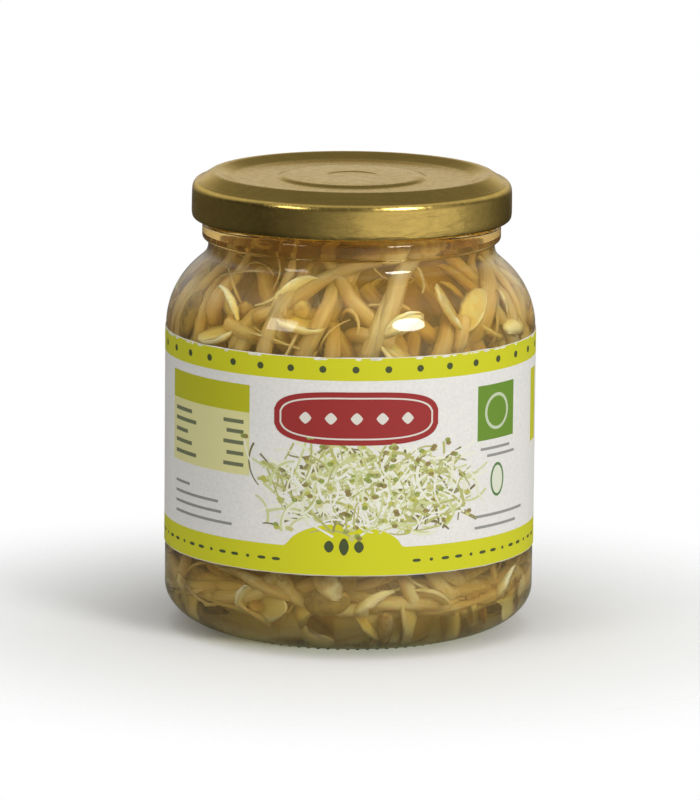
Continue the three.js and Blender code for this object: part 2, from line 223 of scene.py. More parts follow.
def lofted(name, rings, looped=False, flipped=False):
    """A skin over rings of points; a ring of one point is a tip, and open ends get a cap."""
    verts, numbers, faces = [], [], []
    for ring in rings:
        numbers.append(range(len(verts), len(verts) + len(ring)))
        verts += ring
    around = max(len(ring) for ring in rings)
    for low, high in zip(numbers, numbers[1:] + numbers[:int(looped)]):
        for k in range(around):
            n = (k + 1) % around
            corners = (low[k % len(low)], low[n % len(low)], high[n % len(high)], high[k % len(high)])
            faces.append(tuple(dict.fromkeys(corners)))
    if not looped and len(rings[0]) > 1:
        faces += [tuple(reversed(numbers[0])), tuple(numbers[-1])]
    if flipped:
        faces = [tuple(reversed(face)) for face in faces]
    return solid(name, verts, faces)


def turned(name, profile, steps, ripple=None):
    """A profile of (radius, height) turned about Z, counted from the front; it ends on the axis or closes."""
    on_axis = 1e-6
    rings = []
    for r, z in profile:
        angles = [0.0] if r < on_axis else circle(steps)
        rings.append([from_front(a, r + (ripple(a, r, z) if ripple else 0), z) for a in angles])
    return lofted(name, rings, looped=profile[0][0] > on_axis)


def arc(r, z, width, height, a, b, steps):
    """Points of an elliptical arc in a profile, from angle a to angle b."""
    turns = [a + (b - a) * i / steps for i in range(steps + 1)]
    return [(r + width * math.cos(t), z + height * math.sin(t)) for t in turns]


def rounded(profile, radius, steps=3):
    """A profile with its inner corners turned to small curves."""
    out = [profile[0]]
    for before, here, after in zip(profile, profile[1:], profile[2:]):
        a, p, b = Vector(before), Vector(here), Vector(after)
        reach = min(radius, (a - p).length * 0.48, (b - p).length * 0.48)
        start, end = p + (a - p).normalized() * reach, p + (b - p).normalized() * reach
        for i in range(steps + 1):
            t = i / steps
            out.append(tuple(start * (1 - t) ** 2 + p * 2 * t * (1 - t) + end * t ** 2))
    return out + [profile[-1]]


def shoulder(inset, steps):
    """The shoulder at a distance inside its outer face: a convex arc, a slope and a hollow fillet."""
    convex, hollow = SHOULDER_RADIUS - inset, NECK_FILLET + inset
    swell = arc(BODY_RADIUS - SHOULDER_RADIUS, SHOULDER_START, convex, convex, 0, SHOULDER_ANGLE, steps)
    r, z = swell[-1]
    centre_r = r - SHOULDER_SLOPE * math.sin(SHOULDER_ANGLE) + hollow * math.cos(SHOULDER_ANGLE)
    centre_z = z + SHOULDER_SLOPE * math.cos(SHOULDER_ANGLE) + hollow * math.sin(SHOULDER_ANGLE)
    return swell + arc(centre_r, centre_z, hollow, hollow, math.pi + SHOULDER_ANGLE, math.pi, steps - 1)


def inner_wall(inset, steps):
    """The inside of the glass from the middle of its floor up to the mouth, at a distance inside its face."""
    radius, heel_r, heel_z = BODY_RADIUS - WALL, HEEL_WIDTH - WALL, HEEL_HEIGHT + 1.5 - WALL
    heel = arc(radius - heel_r, BASE_TOP + heel_z, heel_r - inset, heel_z - inset, -math.pi / 2, 0, steps)
    mouth = MOUTH_RADIUS - inset
    top = [(mouth, BEAD_LOW + 1), (mouth, RIM_TOP - 1)]
    return [(0, BASE_TOP + inset), *heel, *shoulder(WALL + inset, steps), *top]


WALL_LINE = [Vector(p) for p in inner_wall(0, 12)]
WALL_RUN = [sum((b - a).length for a, b in zip(WALL_LINE[:i], WALL_LINE[1:i + 1]))
            for i in range(len(WALL_LINE))]


def along_wall(run):
    """The radius and height of the wall at a length along it from the middle of the floor."""
    i = next((k for k, length in enumerate(WALL_RUN) if length > run), len(WALL_RUN) - 1)
    i = max(i, 1)
    return WALL_LINE[i - 1].lerp(WALL_LINE[i], (run - WALL_RUN[i - 1]) / (WALL_RUN[i] - WALL_RUN[i - 1]))


def behind_glass(run, turn, depth):
    """A place at a depth behind the glass, the direction out through it, and the wall's radius there."""
    here = along_wall(run)
    along = (along_wall(run + 1.5) - along_wall(run - 1.5)).normalized()
    r, z = max(here.x - depth * along.y, 0.5), here.y + depth * along.x
    return at_turn(turn, r, z), at_turn(turn, along.y, -along.x), here.x


# Geometry Nodes

def plant(tree, kind, links=(), **settings):
    """A node with its settings and its inputs: values, sockets, or nodes that give their first output."""
    made = tree.nodes.new(kind)
    for key, value in settings.items():
        setattr(made, key, value)
    for key, value in dict(links).items():
        socket = made.inputs[key]
        if isinstance(value, bpy.types.Node):
            value = value.outputs[0]
        if isinstance(value, bpy.types.NodeSocket):
            tree.links.new(value, socket)
        else:
            socket.default_value = value
    return made


def maths(tree, operation, *values):
    return plant(tree, "ShaderNodeMath", enumerate(values), operation=operation)


def grain(tree, place, scale, detail, **more):
    """A noise texture over a place."""
    return plant(tree, "ShaderNodeTexNoise", {"Vector": place, "Scale": scale, "Detail": detail, **more})


def geometry_tree(name, inputs):
    """A geometry node tree and its inputs, each a number, or the word Material or Object."""
    tree = bpy.data.node_groups.new(name, "GeometryNodeTree")
    tree.interface.new_socket("Geometry", in_out="INPUT", socket_type="NodeSocketGeometry")
    for label, value in inputs.items():
        kind = {int: "Int", float: "Float"}.get(type(value), value)
        socket = tree.interface.new_socket(label, in_out="INPUT", socket_type="NodeSocket" + kind)
        if kind != value:
            socket.default_value = value
    tree.interface.new_socket("Geometry", in_out="OUTPUT", socket_type="NodeSocketGeometry")
    return tree, tree.nodes.new("NodeGroupInput").outputs


def grown(name, source, tree, values):
    """What a geometry node tree makes of a source object, as a plain mesh object in its place."""
    modifier = source.modifiers.new("growth", "NODES")
    modifier.node_group = tree
    for item in tree.interface.items_tree:
        if item.in_out == "INPUT" and item.name in values:
            modifier[item.identifier] = values[item.name]
    depsgraph = bpy.context.evaluated_depsgraph_get()
    mesh = bpy.data.meshes.new_from_object(source.evaluated_get(depsgraph), depsgraph=depsgraph)
    source.modifiers.remove(modifier)
    bpy.data.objects.remove(source)
    mesh.name = name
    piece = link(name, mesh)
    mesh.polygons.foreach_set("use_smooth", [True] * len(mesh.polygons))
    return piece


def uneven(tree, geometry, amount, scale, detail):
    """The geometry with each point moved a little by a noise of its place."""
    wobble = grain(tree, plant(tree, "GeometryNodeInputPosition"), scale, detail).outputs["Color"]
    centred = plant(tree, "ShaderNodeVectorMath", {0: wobble, 1: (0.5, 0.5, 0.5)}, operation="SUBTRACT")
    shift = plant(tree, "ShaderNodeVectorMath", {0: centred, "Scale": amount}, operation="SCALE")
    return plant(tree, "GeometryNodeSetPosition", {"Geometry": geometry, "Offset": shift})


def harvest(tree, geometry, material):
    """What each geometry tree ends in: real meshes with their material."""
    real = plant(tree, "GeometryNodeRealizeInstances", {"Geometry": geometry})
    dressed = plant(tree, "GeometryNodeSetMaterial", {"Geometry": real, "Material": material})
    plant(tree, "NodeGroupOutput", {0: dressed})
    return tree


def carried(tree, name, kind="FLOAT"):
    """A value that the points carry."""
    named = plant(tree, "GeometryNodeInputNamedAttribute", {"Name": name}, data_type=kind)
    return named.outputs["Attribute"]


def stored(tree, geometry, name, value):
    """The geometry with a value kept on its points."""
    return plant(tree, "GeometryNodeStoreNamedAttribute",
                 {"Geometry": geometry, "Name": name, "Value": value}, domain="POINT")


def stem_tree():
    """Stems along paths: a rounded tube of each path's own thickness, a little uneven."""
    tree, given = geometry_tree("Stems along paths", {
        "Sides": 8, "Rings": 10, "Thickness": 1.0, "Unevenness": 0.0005, "Flesh": "Material"})
    curve = plant(tree, "GeometryNodeMeshToCurve", {"Mesh": given["Geometry"]})
    bent = plant(tree, "GeometryNodeCurveSplineType", {"Curve": curve}, spline_type="CATMULL_ROM")
    fine = plant(tree, "GeometryNodeResampleCurve", {"Curve": bent, "Count": given["Rings"]})
    wide = maths(tree, "MULTIPLY", carried(tree, "thick"), given["Thickness"])
    sized = plant(tree, "GeometryNodeSetCurveRadius", {"Curve": fine, "Radius": wide})
    gone = plant(tree, "GeometryNodeSplineParameter").outputs
    long = stored(tree, sized, "along", gone["Length"])
    ring = plant(tree, "GeometryNodeCurvePrimitiveCircle", {"Resolution": given["Sides"], "Radius": 1.0})
    round_ring = stored(tree, ring, "around", gone["Factor"])
    tube = plant(tree, "GeometryNodeCurveToMesh",
                 {"Curve": long, "Profile Curve": round_ring, "Fill Caps": True})
    if "Scale" in tube.inputs:
        tree.links.new(wide.outputs[0], tube.inputs["Scale"])
    return harvest(tree, uneven(tree, tube, given["Unevenness"], 210.0, 2.0), given["Flesh"])


def bean_tree():
    """Bean halves on points, turned and sized by the points' own values, then made real to be uneven."""
    tree, given = geometry_tree("Bean halves on points", {
        "Bean half": "Object", "Size": 1.0, "Unevenness": 0.0005, "Flesh": "Material"})
    shape = plant(tree, "GeometryNodeObjectInfo", {"Object": given["Bean half"]})
    scale = maths(tree, "MULTIPLY", carried(tree, "size"), given["Size"])
    set_down = plant(tree, "GeometryNodeInstanceOnPoints", {
        "Points": given["Geometry"], "Instance": shape.outputs["Geometry"],
        "Rotation": carried(tree, "turn", "FLOAT_VECTOR"), "Scale": scale})
    real = plant(tree, "GeometryNodeRealizeInstances", {"Geometry": set_down})
    return harvest(tree, uneven(tree, real, given["Unevenness"], 260.0, 1.0), given["Flesh"])


def around_tree():
    """A shape repeated evenly round the jar's axis."""
    tree, given = geometry_tree("Evenly round the axis", {"Count": LUGS, "Finish": "Material"})
    points = plant(tree, "GeometryNodePoints", {"Count": given["Count"]})
    set_down = plant(tree, "GeometryNodeInstanceOnPoints", {"Points": points, "Instance": given["Geometry"]})
    step = maths(tree, "DIVIDE", 2 * math.pi, given["Count"])
    angle = maths(tree, "MULTIPLY", plant(tree, "GeometryNodeInputIndex"), step)
    about_z = plant(tree, "ShaderNodeCombineXYZ", {"Z": angle})
    spun = plant(tree, "GeometryNodeRotateInstances", {"Instances": set_down, "Rotation": about_z})
    return harvest(tree, spun, given["Finish"])


# Materials

WHITE = (1, 1, 1, 1)


def finish_tree(name):
    """A new material, its empty node tree and the place on the piece that its textures follow."""
    material = bpy.data.materials.new(name)
    material.use_nodes = True
    tree = material.node_tree
    tree.nodes.clear()
    return material, tree, plant(tree, "ShaderNodeTexCoord").outputs["Object"]


def painted(material, surface, **more):
    """The material with its shaders joined to its output."""
    plant(material.node_tree, "ShaderNodeOutputMaterial", {"Surface": surface, **more})
    return material


def ramp(tree, factor, stops):
    made = plant(tree, "ShaderNodeValToRGB", {"Fac": factor})
    elements = made.color_ramp.elements
    while len(elements) < len(stops):
        elements.new(0.5)
    for element, (place, colour) in zip(elements, stops):
        element.position = place
        element.color = (*colour, 1)
    return made


def shaded(colour, factor):
    return tuple(min(1, c * factor) for c in colour)


def grey_ramp(tree, factor, *stops):
    return ramp(tree, factor, [(place, (grey, grey, grey)) for place, grey in stops])


def mixed(tree, share, first, second):
    return plant(tree, "ShaderNodeMixShader", {0: share, 1: first, 2: second})


def blended(tree, share, first, second, blend="MIX"):
    made = plant(tree, "ShaderNodeMix", {0: share, 6: first, 7: second}, data_type="RGBA", blend_type=blend)
    return made.outputs[2]


def bumped(tree, height, strength, distance, **more):
    return plant(tree, "ShaderNodeBump",
                 {"Height": height, "Strength": strength, "Distance": distance, **more})


def ranged(tree, value, *limits, **settings):
    """A value taken from between the first two limits to between the last two."""
    return plant(tree, "ShaderNodeMapRange", enumerate((value, *limits)), **settings)


def stretched(tree, place, scale):
    return plant(tree, "ShaderNodeMapping", {"Vector": place, "Scale": scale})


def height_of(tree, place):
    return plant(tree, "ShaderNodeSeparateXYZ", {0: place}).outputs["Z"]


def height_share(tree, place):
    """A height as a share of the height of the rim."""
    return maths(tree, "MULTIPLY", height_of(tree, place), 1 / (RIM_TOP * MM))


def own_value(tree, name):
    """A value that the mesh carries."""
    return plant(tree, "ShaderNodeAttribute", attribute_name=name).outputs


def principled(tree, colour, roughness, normal, more=()):
    return plant(tree, "ShaderNodeBsdfPrincipled",
                 {"Base Color": colour, "Roughness": roughness, "Normal": normal, **dict(more)})


def clear_glass(name, ior, tint, base, neck):
    """Clear glass that lets light through, greener in its thick base, warmer and darker from the bead up."""
    material, tree, place = finish_tree(name)
    body = ramp(tree, height_share(tree, place), ((0.006, base), (0.04, tint), (0.85, tint), (0.885, neck)))
    bump = bumped(tree, grain(tree, place, 45.0, 1.5), 0.05, 0.001)
    glass = plant(tree, "ShaderNodeBsdfGlass", {"Color": body, "Roughness": 0.0, "IOR": ior, "Normal": bump})
    through = plant(tree, "ShaderNodeBsdfTransparent", {"Color": (*shaded(tint, 0.97), 1)})
    path = plant(tree, "ShaderNodeLightPath").outputs
    return painted(material, mixed(tree, path["Is Shadow Ray"], glass, through))


def brine_finish():
    """Amber liquid with a slight haze: only its level bends light, because its sides wet the glass."""
    material, tree, place = finish_tree("brine_amber")
    level = maths(tree, "GREATER_THAN", height_of(tree, place), (BRINE_LEVEL - 0.1) * MM)
    path = plant(tree, "ShaderNodeLightPath").outputs
    bends = maths(tree, "MULTIPLY", level, maths(tree, "SUBTRACT", 1.0, path["Is Shadow Ray"]))
    water = plant(tree, "ShaderNodeBsdfGlass", {"Color": WHITE, "Roughness": 0.0, "IOR": 1.34})
    through = plant(tree, "ShaderNodeBsdfTransparent", {"Color": WHITE})
    cloud = plant(tree, "ShaderNodeBsdfDiffuse", {"Color": (0.80, 0.52, 0.16, 1)})
    # The haze thickens towards the floor and the neck: partly cloudy brine, partly painted light that
    # lightens those parts.
    haze_and_painted_light = grey_ramp(tree, height_share(tree, place), (0.3, 0.17), (0.45, 0.12), (0.8, 0.12), (0.9, 0.18))
    amber = plant(tree, "ShaderNodeVolumeAbsorption", {"Color": (0.945, 0.79, 0.23, 1), "Density": 175.0})
    return painted(material, mixed(tree, bends, mixed(tree, haze_and_painted_light, through, cloud), water), Volume=amber)


def fibres(tree, tone):
    """Noise drawn out along a stem, other on each stem."""
    angle = maths(tree, "MULTIPLY", own_value(tree, "around")["Fac"], 2 * math.pi)
    along = maths(tree, "MULTIPLY", own_value(tree, "along")["Fac"], 70.0)
    shift = maths(tree, "MULTIPLY_ADD", tone, 70.0, along)
    place = plant(tree, "ShaderNodeCombineXYZ",
                  {"X": maths(tree, "COSINE", angle), "Y": maths(tree, "SINE", angle), "Z": shift})
    return grain(tree, place, 1.9, 2.5)


def flesh(name, colour, dark, pale, glow, scale, streaked=False):
    """Wet plant flesh that light passes into, paler and darker by the shade that each piece carries."""
    material, tree, place = finish_tree(name)
    tone = own_value(tree, "shade")["Fac"]
    share = maths(tree, "ADD", grain(tree, place, scale, 4.0, Roughness=0.6), tone)
    tint = ramp(tree, share, ((0.35, dark), (0.6, shaded(colour, 0.86)), (0.95, colour), (1.3, pale)))
    if streaked:
        fine = fibres(tree, tone)
        streaks = ramp(tree, fine, ((0.34, (0.88, 0.80, 0.66)), (0.6, (1, 1, 1))))
        tint = blended(tree, 1.0, tint, streaks, "MULTIPLY")
    else:
        fine = grain(tree, place, 900.0, 3.0)
    skin = principled(tree, tint, 0.42, bumped(tree, fine, 0.06, 0.0003), {
        "Specular IOR Level": 0.2, "Subsurface Weight": 0.5, "Subsurface Radius": (1.0, 0.6, 0.3),
        "Subsurface Scale": 0.003})
    inner = plant(tree, "ShaderNodeBsdfTranslucent", {"Color": tint})
    return painted(material, mixed(tree, glow, skin, inner))


def gold_finish():
    """Gold lacquer on tinplate: a metal under a clear coat, rolled, and crinkled in patches of the wall."""
    gold = tuple(colours().gold)
    material, tree, place = finish_tree("gold_lacquer")
    rolled = grain(tree, stretched(tree, place, (60, 900, 900)), 1.0, 3.0)
    tint = ramp(tree, rolled, ((0.3, shaded(gold, 0.92)), (0.7, shaded(gold, 1.08))))
    peel = grain(tree, place, 700.0, 2.0)
    crinkle = grain(tree, stretched(tree, place, (170, 170, 620)), 1.0, 3.0, Distortion=0.8)
    patch = ranged(tree, grain(tree, place, 38.0, 0.0), 0.5, 0.66, 0.03, 0.6)
    wall = maths(tree, "LESS_THAN", height_of(tree, place), (LID_TOP - 4) * MM)
    wavy = bumped(tree, crinkle, maths(tree, "MULTIPLY", patch, wall), 0.0003)
    bump = bumped(tree, peel, 0.1, 0.0002, Normal=wavy)
    return painted(material, principled(tree, tint, ranged(tree, peel, 0.3, 0.7, 0.19, 0.28), bump, {
        "Metallic": 1.0, "Specular Tint": (1.0, 0.88, 0.58, 1), "Coat Weight": 0.15, "Coat Roughness": 0.12}))


def plain_finish(name, colour, roughness, scale):
    """A matt finish with a fine grain, for the paper and the soft seal."""
    material, tree, place = finish_tree(name)
    fibre = grain(tree, place, scale, 5.0)
    tint = ramp(tree, fibre, ((0.3, shaded(colour, 0.93)), (0.7, shaded(colour, 1.03))))
    return painted(material, principled(tree, tint, roughness, bumped(tree, fibre, 0.15, 0.0001)))


def floor_finish():
    """A pale matt floor that fades into the white round it and looks dimmer in the glass."""
    material, tree, place = finish_tree("pale_floor")
    reach = plant(tree, "ShaderNodeVectorMath", {0: place}, operation="LENGTH").outputs["Value"]
    fade = ranged(tree, reach, 0.045, 0.13, interpolation_type="SMOOTHSTEP")
    matt = plant(tree, "ShaderNodeBsdfDiffuse", {"Color": (0.93, 0.93, 0.92, 1)})
    dim = plant(tree, "ShaderNodeBsdfDiffuse", {"Color": (0.42, 0.40, 0.34, 1)})
    path = plant(tree, "ShaderNodeLightPath").outputs
    thin = maths(tree, "MULTIPLY", fade, maths(tree, "SUBTRACT", 1.0, path["Is Diffuse Ray"]))
    near = mixed(tree, path["Is Glossy Ray"], matt, dim)
    return painted(material, mixed(tree, thin, near, plant(tree, "ShaderNodeBsdfTransparent")))


def ink_finish():
    """Printing ink in the colour that each shape carries."""
    material, tree, place = finish_tree("label_ink")
    bump = bumped(tree, grain(tree, place, 1500.0, 3.0), 0.1, 0.0001)
    ink = own_value(tree, "ink")["Color"]
    return painted(material, principled(tree, ink, 0.5, bump, {"Specular IOR Level": 0.25}))


# The glass

def thread_rib():
    """One rib of the screw finish, climbing anticlockwise, with tapered ends."""
    foot, climb, turn, thick, tall = 93, 2, math.radians(66), 1.2, 0.8
    rings = []
    for i in range(17):
        along = i / 16
        fade = min(1, 6 * min(along, 1 - along) + 0.2)
        spots = [(FINISH_RADIUS + thick * fade * math.cos(t), foot + along * climb + tall * math.sin(t))
                 for t in circle(8)]
        rings.append([at_turn(along * turn, r, z) for r, z in spots])
    return lofted("thread", rings, flipped=True)


def ball(steps, around):
    """Rings of points over a ball of radius 1, from tip to tip along X."""
    rings = [[(-1, 0, 0)]]
    for i in range(1, steps):
        t = math.pi * i / steps
        rings.append([(-math.cos(t), math.sin(t) * math.cos(p), math.sin(t) * math.sin(p))
                      for p in circle(around)])
    return [*rings, [(1, 0, 0)]]


def knurl():
    """One of the small ribs that the jar stands among, under its heel."""
    middle, up, long, wide, tall = 27.7, 0.25, 1.5, 0.55, 0.22
    rings = [[(middle + long * x, wide * z, up + tall * y) for x, y, z in ring] for ring in ball(6, 8)]
    return lofted("knurl", rings, flipped=True)


def fused(piece, *others):
    """The mesh of a piece with other pieces joined to it as one body; the objects go."""
    for other in others:
        join = piece.modifiers.new(other.name, "BOOLEAN")
        join.operation = "UNION"
        join.solver = "MANIFOLD"
        join.object = other
    depsgraph = bpy.context.evaluated_depsgraph_get()
    joined = bpy.data.meshes.new_from_object(piece.evaluated_get(depsgraph), depsgraph=depsgraph)
    for used in (piece, *others):
        bpy.data.objects.remove(used)
    joined.materials.clear()
    return joined


class JAR_OT_glass(bpy.types.Operator):
    """Blow the glass jar, with its bead, base and screw threads"""
    bl_idname = "sprout_jar.glass"
    bl_label = "Glass jar"

    def execute(self, context):
        base = rounded([(0, PUSH_UP), (BEARING_INNER - 3, PUSH_UP), (BEARING_INNER, 0),
                        (BODY_RADIUS - HEEL_WIDTH, 0)], 1.2)
        heel = arc(BODY_RADIUS - HEEL_WIDTH, HEEL_HEIGHT, HEEL_WIDTH, HEEL_HEIGHT, -math.pi / 2, 0, 20)
        neck = [(NECK_RADIUS, NECK_LOW), (NECK_RADIUS, BEAD_LOW - 0.4), (BEAD_RADIUS, BEAD_LOW + 0.1),
                (BEAD_RADIUS, BEAD_HIGH - 0.9), (FINISH_RADIUS, BEAD_HIGH - 0.1), (FINISH_RADIUS, RIM_TOP),
                (MOUTH_RADIUS, RIM_TOP), (MOUTH_RADIUS, RIM_TOP - 2)]
        outside = base + heel[1:] + shoulder(0, 16)[:-1] + rounded(neck, 0.9, 5)
        profile = outside + inner_wall(0, 16)[-2::-1]
        tint = tuple(colours().glass)
        clear = clear_glass("clear_glass", 1.52, tint, (0.74, 0.78, 0.62), (0.91, 0.83, 0.64))
        wet = clear_glass("wet_glass", 1.134, *[(1.0, 1.0, 1.0)] * 3)
        ribs = grown("ribs", link("rib", thread_rib()), around_tree(), {"Finish": clear})
        knurls = grown("knurls", link("knurl", knurl()), around_tree(), {"Count": 84, "Finish": clear})
        mesh = turned("glass_jar_clear", profile, sizes().round_steps)
        joined = fused(link("glass_jar_clear", mesh, clear), ribs, knurls)
        piece = link("glass_jar_clear", joined, clear, wet)
        wall = BODY_RADIUS - WALL + 0.3
        floor_reach = 15
        for face in joined.polygons:
            spot = face.center / MM
            to_axis = face.normal.x * spot.x + face.normal.y * spot.y < 0
            inward = to_axis or (face.normal.z > 0.5 and spot.z < floor_reach)
            inside = math.hypot(spot.x, spot.y) < wall and BASE_TOP - 0.5 < spot.z < BRINE_LEVEL
            face.material_index = int(inward and inside)
            face.use_smooth = True
        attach(piece, "jar")
        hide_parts("glass_jar")
        return {"FINISHED"}


class JAR_OT_brine(bpy.types.Operator):
    """Fill the jar with brine up to its level"""
    bl_idname = "sprout_jar.brine"
    bl_label = "Brine"

    def execute(self, context):
        line = [p for p in inner_wall(0.04, 16) if p[1] < BRINE_LEVEL - 1]
        edge, level = line[-1][0], BRINE_LEVEL
        top = [(edge, level - 0.6), (edge, level + 0.25), (edge - 0.7, level + 0.05), (edge - 1.8, level),
               (0, level)]
        liquid = turned("brine_liquid", line + top, sizes().round_steps)
        piece = link("brine_liquid", liquid, brine_finish())
        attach(piece, "jar")
        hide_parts("brine")
        return {"FINISHED"}


# The sprouts

Sprout = namedtuple("Sprout", "nodes stem root_out twist hook grown unfolded", defaults=(0,))


def seeded(seed):
    """Numbers from 0 to 1 in a fixed order, by the same steps as in the part's source."""
    state = seed
    while True:
        state = (state + 0x6D2B79F5) & 0xFFFFFFFF
        t = (state ^ state >> 15) * (1 | state) & 0xFFFFFFFF
        t = (t + ((t ^ t >> 7) * (61 | t) & 0xFFFFFFFF) ^ t) & 0xFFFFFFFF
        yield (t ^ t >> 14) / 4294967296


def wall_path(run, turn, heading, bend, length, depth, runs):
    """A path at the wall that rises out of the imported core, or none where it would leave the wall."""
    step, nodes = length / STEM_STEPS, []
    for i in range(STEM_STEPS + 1):
        dive = max(0, 1 - i / 1.6) ** 1.5 * max(0, CORE_INSET + 1.5 - depth)
        spot, out, radius = behind_glass(run, turn, depth + dive)
        nodes.append((spot, out))
        run += step * math.cos(heading)
        turn += step * math.sin(heading) / radius
        heading += bend * step
        if not runs[0] <= run <= runs[1]:
            return None
    return nodes


def flat_path(x, y, heading, bend, length, depth, side, height, within):
    """A path flat on the floor or on top, or none where it would leave the round."""
    step, nodes = length / STEM_STEPS, []
    for i in range(STEM_STEPS + 1):
        if math.hypot(x, y) > within:
            return None
        dive = max(0, CORE_INSET - 1 - depth) if i == 0 else 0
        nodes.append((Vector((x, y, height - side * (depth + dive))), Vector((0, 0, side))))
        x += step * math.cos(heading)
        y += step * math.sin(heading)
        heading += bend * step
    return nodes


def draw_at_wall(rand, low, high, lean, spread):
    length = 26 + 14 * rand()
    tilt = math.radians(lean + spread * (2 * rand() - 1))
    tilt = -tilt if rand() < 0.5 else tilt
    bend, depth, stem = (rand() - 0.5) * 0.06, STEM_INSET + rand(), STEM_RADIUS * (0.86 + 0.14 * rand())
    run, turn = low + (high - low) * rand(), 2 * math.pi * rand()
    heading = tilt if rand() < 0.75 else math.pi + tilt
    nodes = wall_path(run, turn, heading, bend, length, depth, WALL_RUNS)
    return nodes and Sprout(nodes, stem, rand() < 0.22, rand() * math.pi, (rand() - 0.5) * 1.8, 1)


def draw_flat(rand, side, height, within):
    length, bend, depth = 24 + 10 * rand(), (rand() - 0.5) * 0.08, STEM_INSET + rand()
    heading, x, y = 2 * math.pi * rand(), within * (2 * rand() - 1), within * (2 * rand() - 1)
    nodes = flat_path(x, y, heading, bend, length, depth, side, height, within)
    return nodes and Sprout(nodes, STEM_RADIUS * 0.95, rand() < 0.3, rand() * math.pi, rand() - 0.5, 1)


def roomiest(draws, spots):
    """The draw whose path lies farthest from the places taken."""
    def room(sprout):
        return sum(min([14, *((spot - other).length for other in spots)]) for spot, _ in sprout.nodes[1:])
    return max(draws, key=room)


def placed_sprouts():
    """The part's own sprouts: each is the roomiest of several seeded draws."""
    rand = seeded(SEED).__next__
    placed, spots = [], []
    zones = [(draw_at_wall, *zone) for zone in WALL_ZONES] + [(draw_flat, *zone) for zone in FLAT_ZONES]
    for draw, count, *limits in zones:
        for _ in range(count):
            draws = []
            while len(draws) < TRIES:
                drawn = draw(rand, *limits)
                if drawn:
                    draws.append(drawn)
            placed.append(roomiest(draws, spots))
            spots += [spot for spot, _ in placed[-1].nodes]
    return placed


def draw_of_more(draw, runs, depths, lean, spread, thickness):
    """One more sprout of a layer, or none where its path would leave the wall; thin ones are roots."""
    thin = thickness[1] < 1
    tilt = math.radians(lean + draw.uniform(-spread, spread)) * draw.choice((-1, 1))
    heading = tilt if draw.random() < 0.6 else math.pi + tilt
    length = draw.uniform(9, 17) if thin else draw.uniform(22, 38)
    bend = draw.uniform(-0.2, 0.2) if thin else draw.uniform(-0.03, 0.03)
    nodes = wall_path(draw.uniform(*runs), draw.uniform(0, 2 * math.pi), heading, bend, length,
                      draw.uniform(*depths), EXTRA_RUNS)
    return nodes and Sprout(nodes, draw.uniform(*thickness), thin or draw.random() < 0.35,
                            draw.uniform(0, math.pi), draw.uniform(-0.9, 0.9), draw.uniform(1, 1.3))


def more_sprouts(placed):
    """Seeded sprouts that the part's source has no room for: more stems in every layer, and thin roots."""
    draw = random.Random(29)
    made = []
    for count, runs, depths, lean, spread, thickness, tries in EXTRA:
        spots = [spot for sprout in placed for spot, _ in sprout.nodes] if depths[0] < 3 else []
        for _ in range(count):
            draws = []
            while len(draws) < tries:
                drawn = draw_of_more(draw, runs, depths, lean, spread, thickness)
                if drawn:
                    draws.append(drawn)
            made.append(roomiest(draws, spots) if tries > 1 else draws[0])
            spots += [spot for spot, _ in made[-1].nodes[1:]]
    goal = len(made) + FLOOR_SPROUTS
    while len(made) < goal:
        nodes = flat_path(draw.uniform(-24, 24), draw.uniform(-24, 24), draw.uniform(0, 2 * math.pi),
                          draw.uniform(-0.03, 0.03), draw.uniform(20, 32), draw.uniform(2.2, 5), -1,
                          BASE_TOP, 27)
        if nodes:
            made.append(Sprout(nodes, draw.uniform(1.6, 2.2), draw.random() < 0.3,
                               draw.uniform(0, math.pi), draw.uniform(-0.9, 0.9), draw.uniform(1, 1.3)))
    return made


def cleared(sprouts, heads):
    """The sprouts that don't lie across a seed coat or an open head."""
    kept_free = [behind_glass(run, math.radians(turn), COAT[2])[0] for turn, run, _ in COATS.values()]
    kept_free += [head.nodes[-1][0].lerp(head.nodes[-2][0], -1.5) for head in heads]
    room, kept = 3.7, []
    for sprout in sprouts:
        spots = [spot for spot, _ in sprout.nodes]
        spots += [a.lerp(b, 0.5) for a, b in zip(spots, spots[1:])]
        if min((spot - free).length for spot in spots for free in kept_free) > room:
            kept.append(sprout)
    return kept


def open_heads():
    """Short stems whose heads lie open against the glass."""
    made = []
    for turn, run, heading, grown_to in OPEN_HEADS:
        turn, heading, length = math.radians(turn), math.radians(heading), 10
        run -= length * math.cos(heading)
        turn -= length * math.sin(heading) / along_wall(run).x
        nodes = wall_path(run, turn, heading, 0.02, length, 3.2, (0, 130))
        made.append(Sprout(nodes, 1.7, False, math.pi / 2, 0.2, grown_to, math.radians(36)))
    return made


def pressed(piece):
    """Press what would stand past the inside of the glass, or up to the lid, flat against it."""
    heights, gap, under_rim = [p.y for p in WALL_LINE], 0.2, 1.5
    for vertex in piece.data.vertices:
        x, y, z = vertex.co / MM
        z = min(max(z, BASE_TOP + gap), RIM_TOP - under_rim)
        i = min(max(bisect.bisect(heights, z), 1), len(heights) - 1)
        low, high = WALL_LINE[i - 1], WALL_LINE[i]
        share = (z - low.y) / (high.y - low.y) if high.y > low.y else 1
        limit = low.x + (high.x - low.x) * min(1, max(0, share)) - gap
        squeeze = min(1, limit / max(math.hypot(x, y), 0.01))
        vertex.co = Vector((x * squeeze, y * squeeze, z)) * MM


def bean_half():
    """Half a bean: rounded outside, hollowed inside, with a slight kidney bend."""
    rings = []
    for ring in ball(6, 10):
        shaped = []
        for x, y, z in ring:
            z = z if z > 0 else z * -0.35
            shaped.append((x * COTYLEDON[0], (y - 0.16 * (1 - x * x)) * COTYLEDON[1],
                           (z - 0.2) * COTYLEDON[2] * 1.35))
        rings.append(shaped)
    return lofted("bean_half", rings)


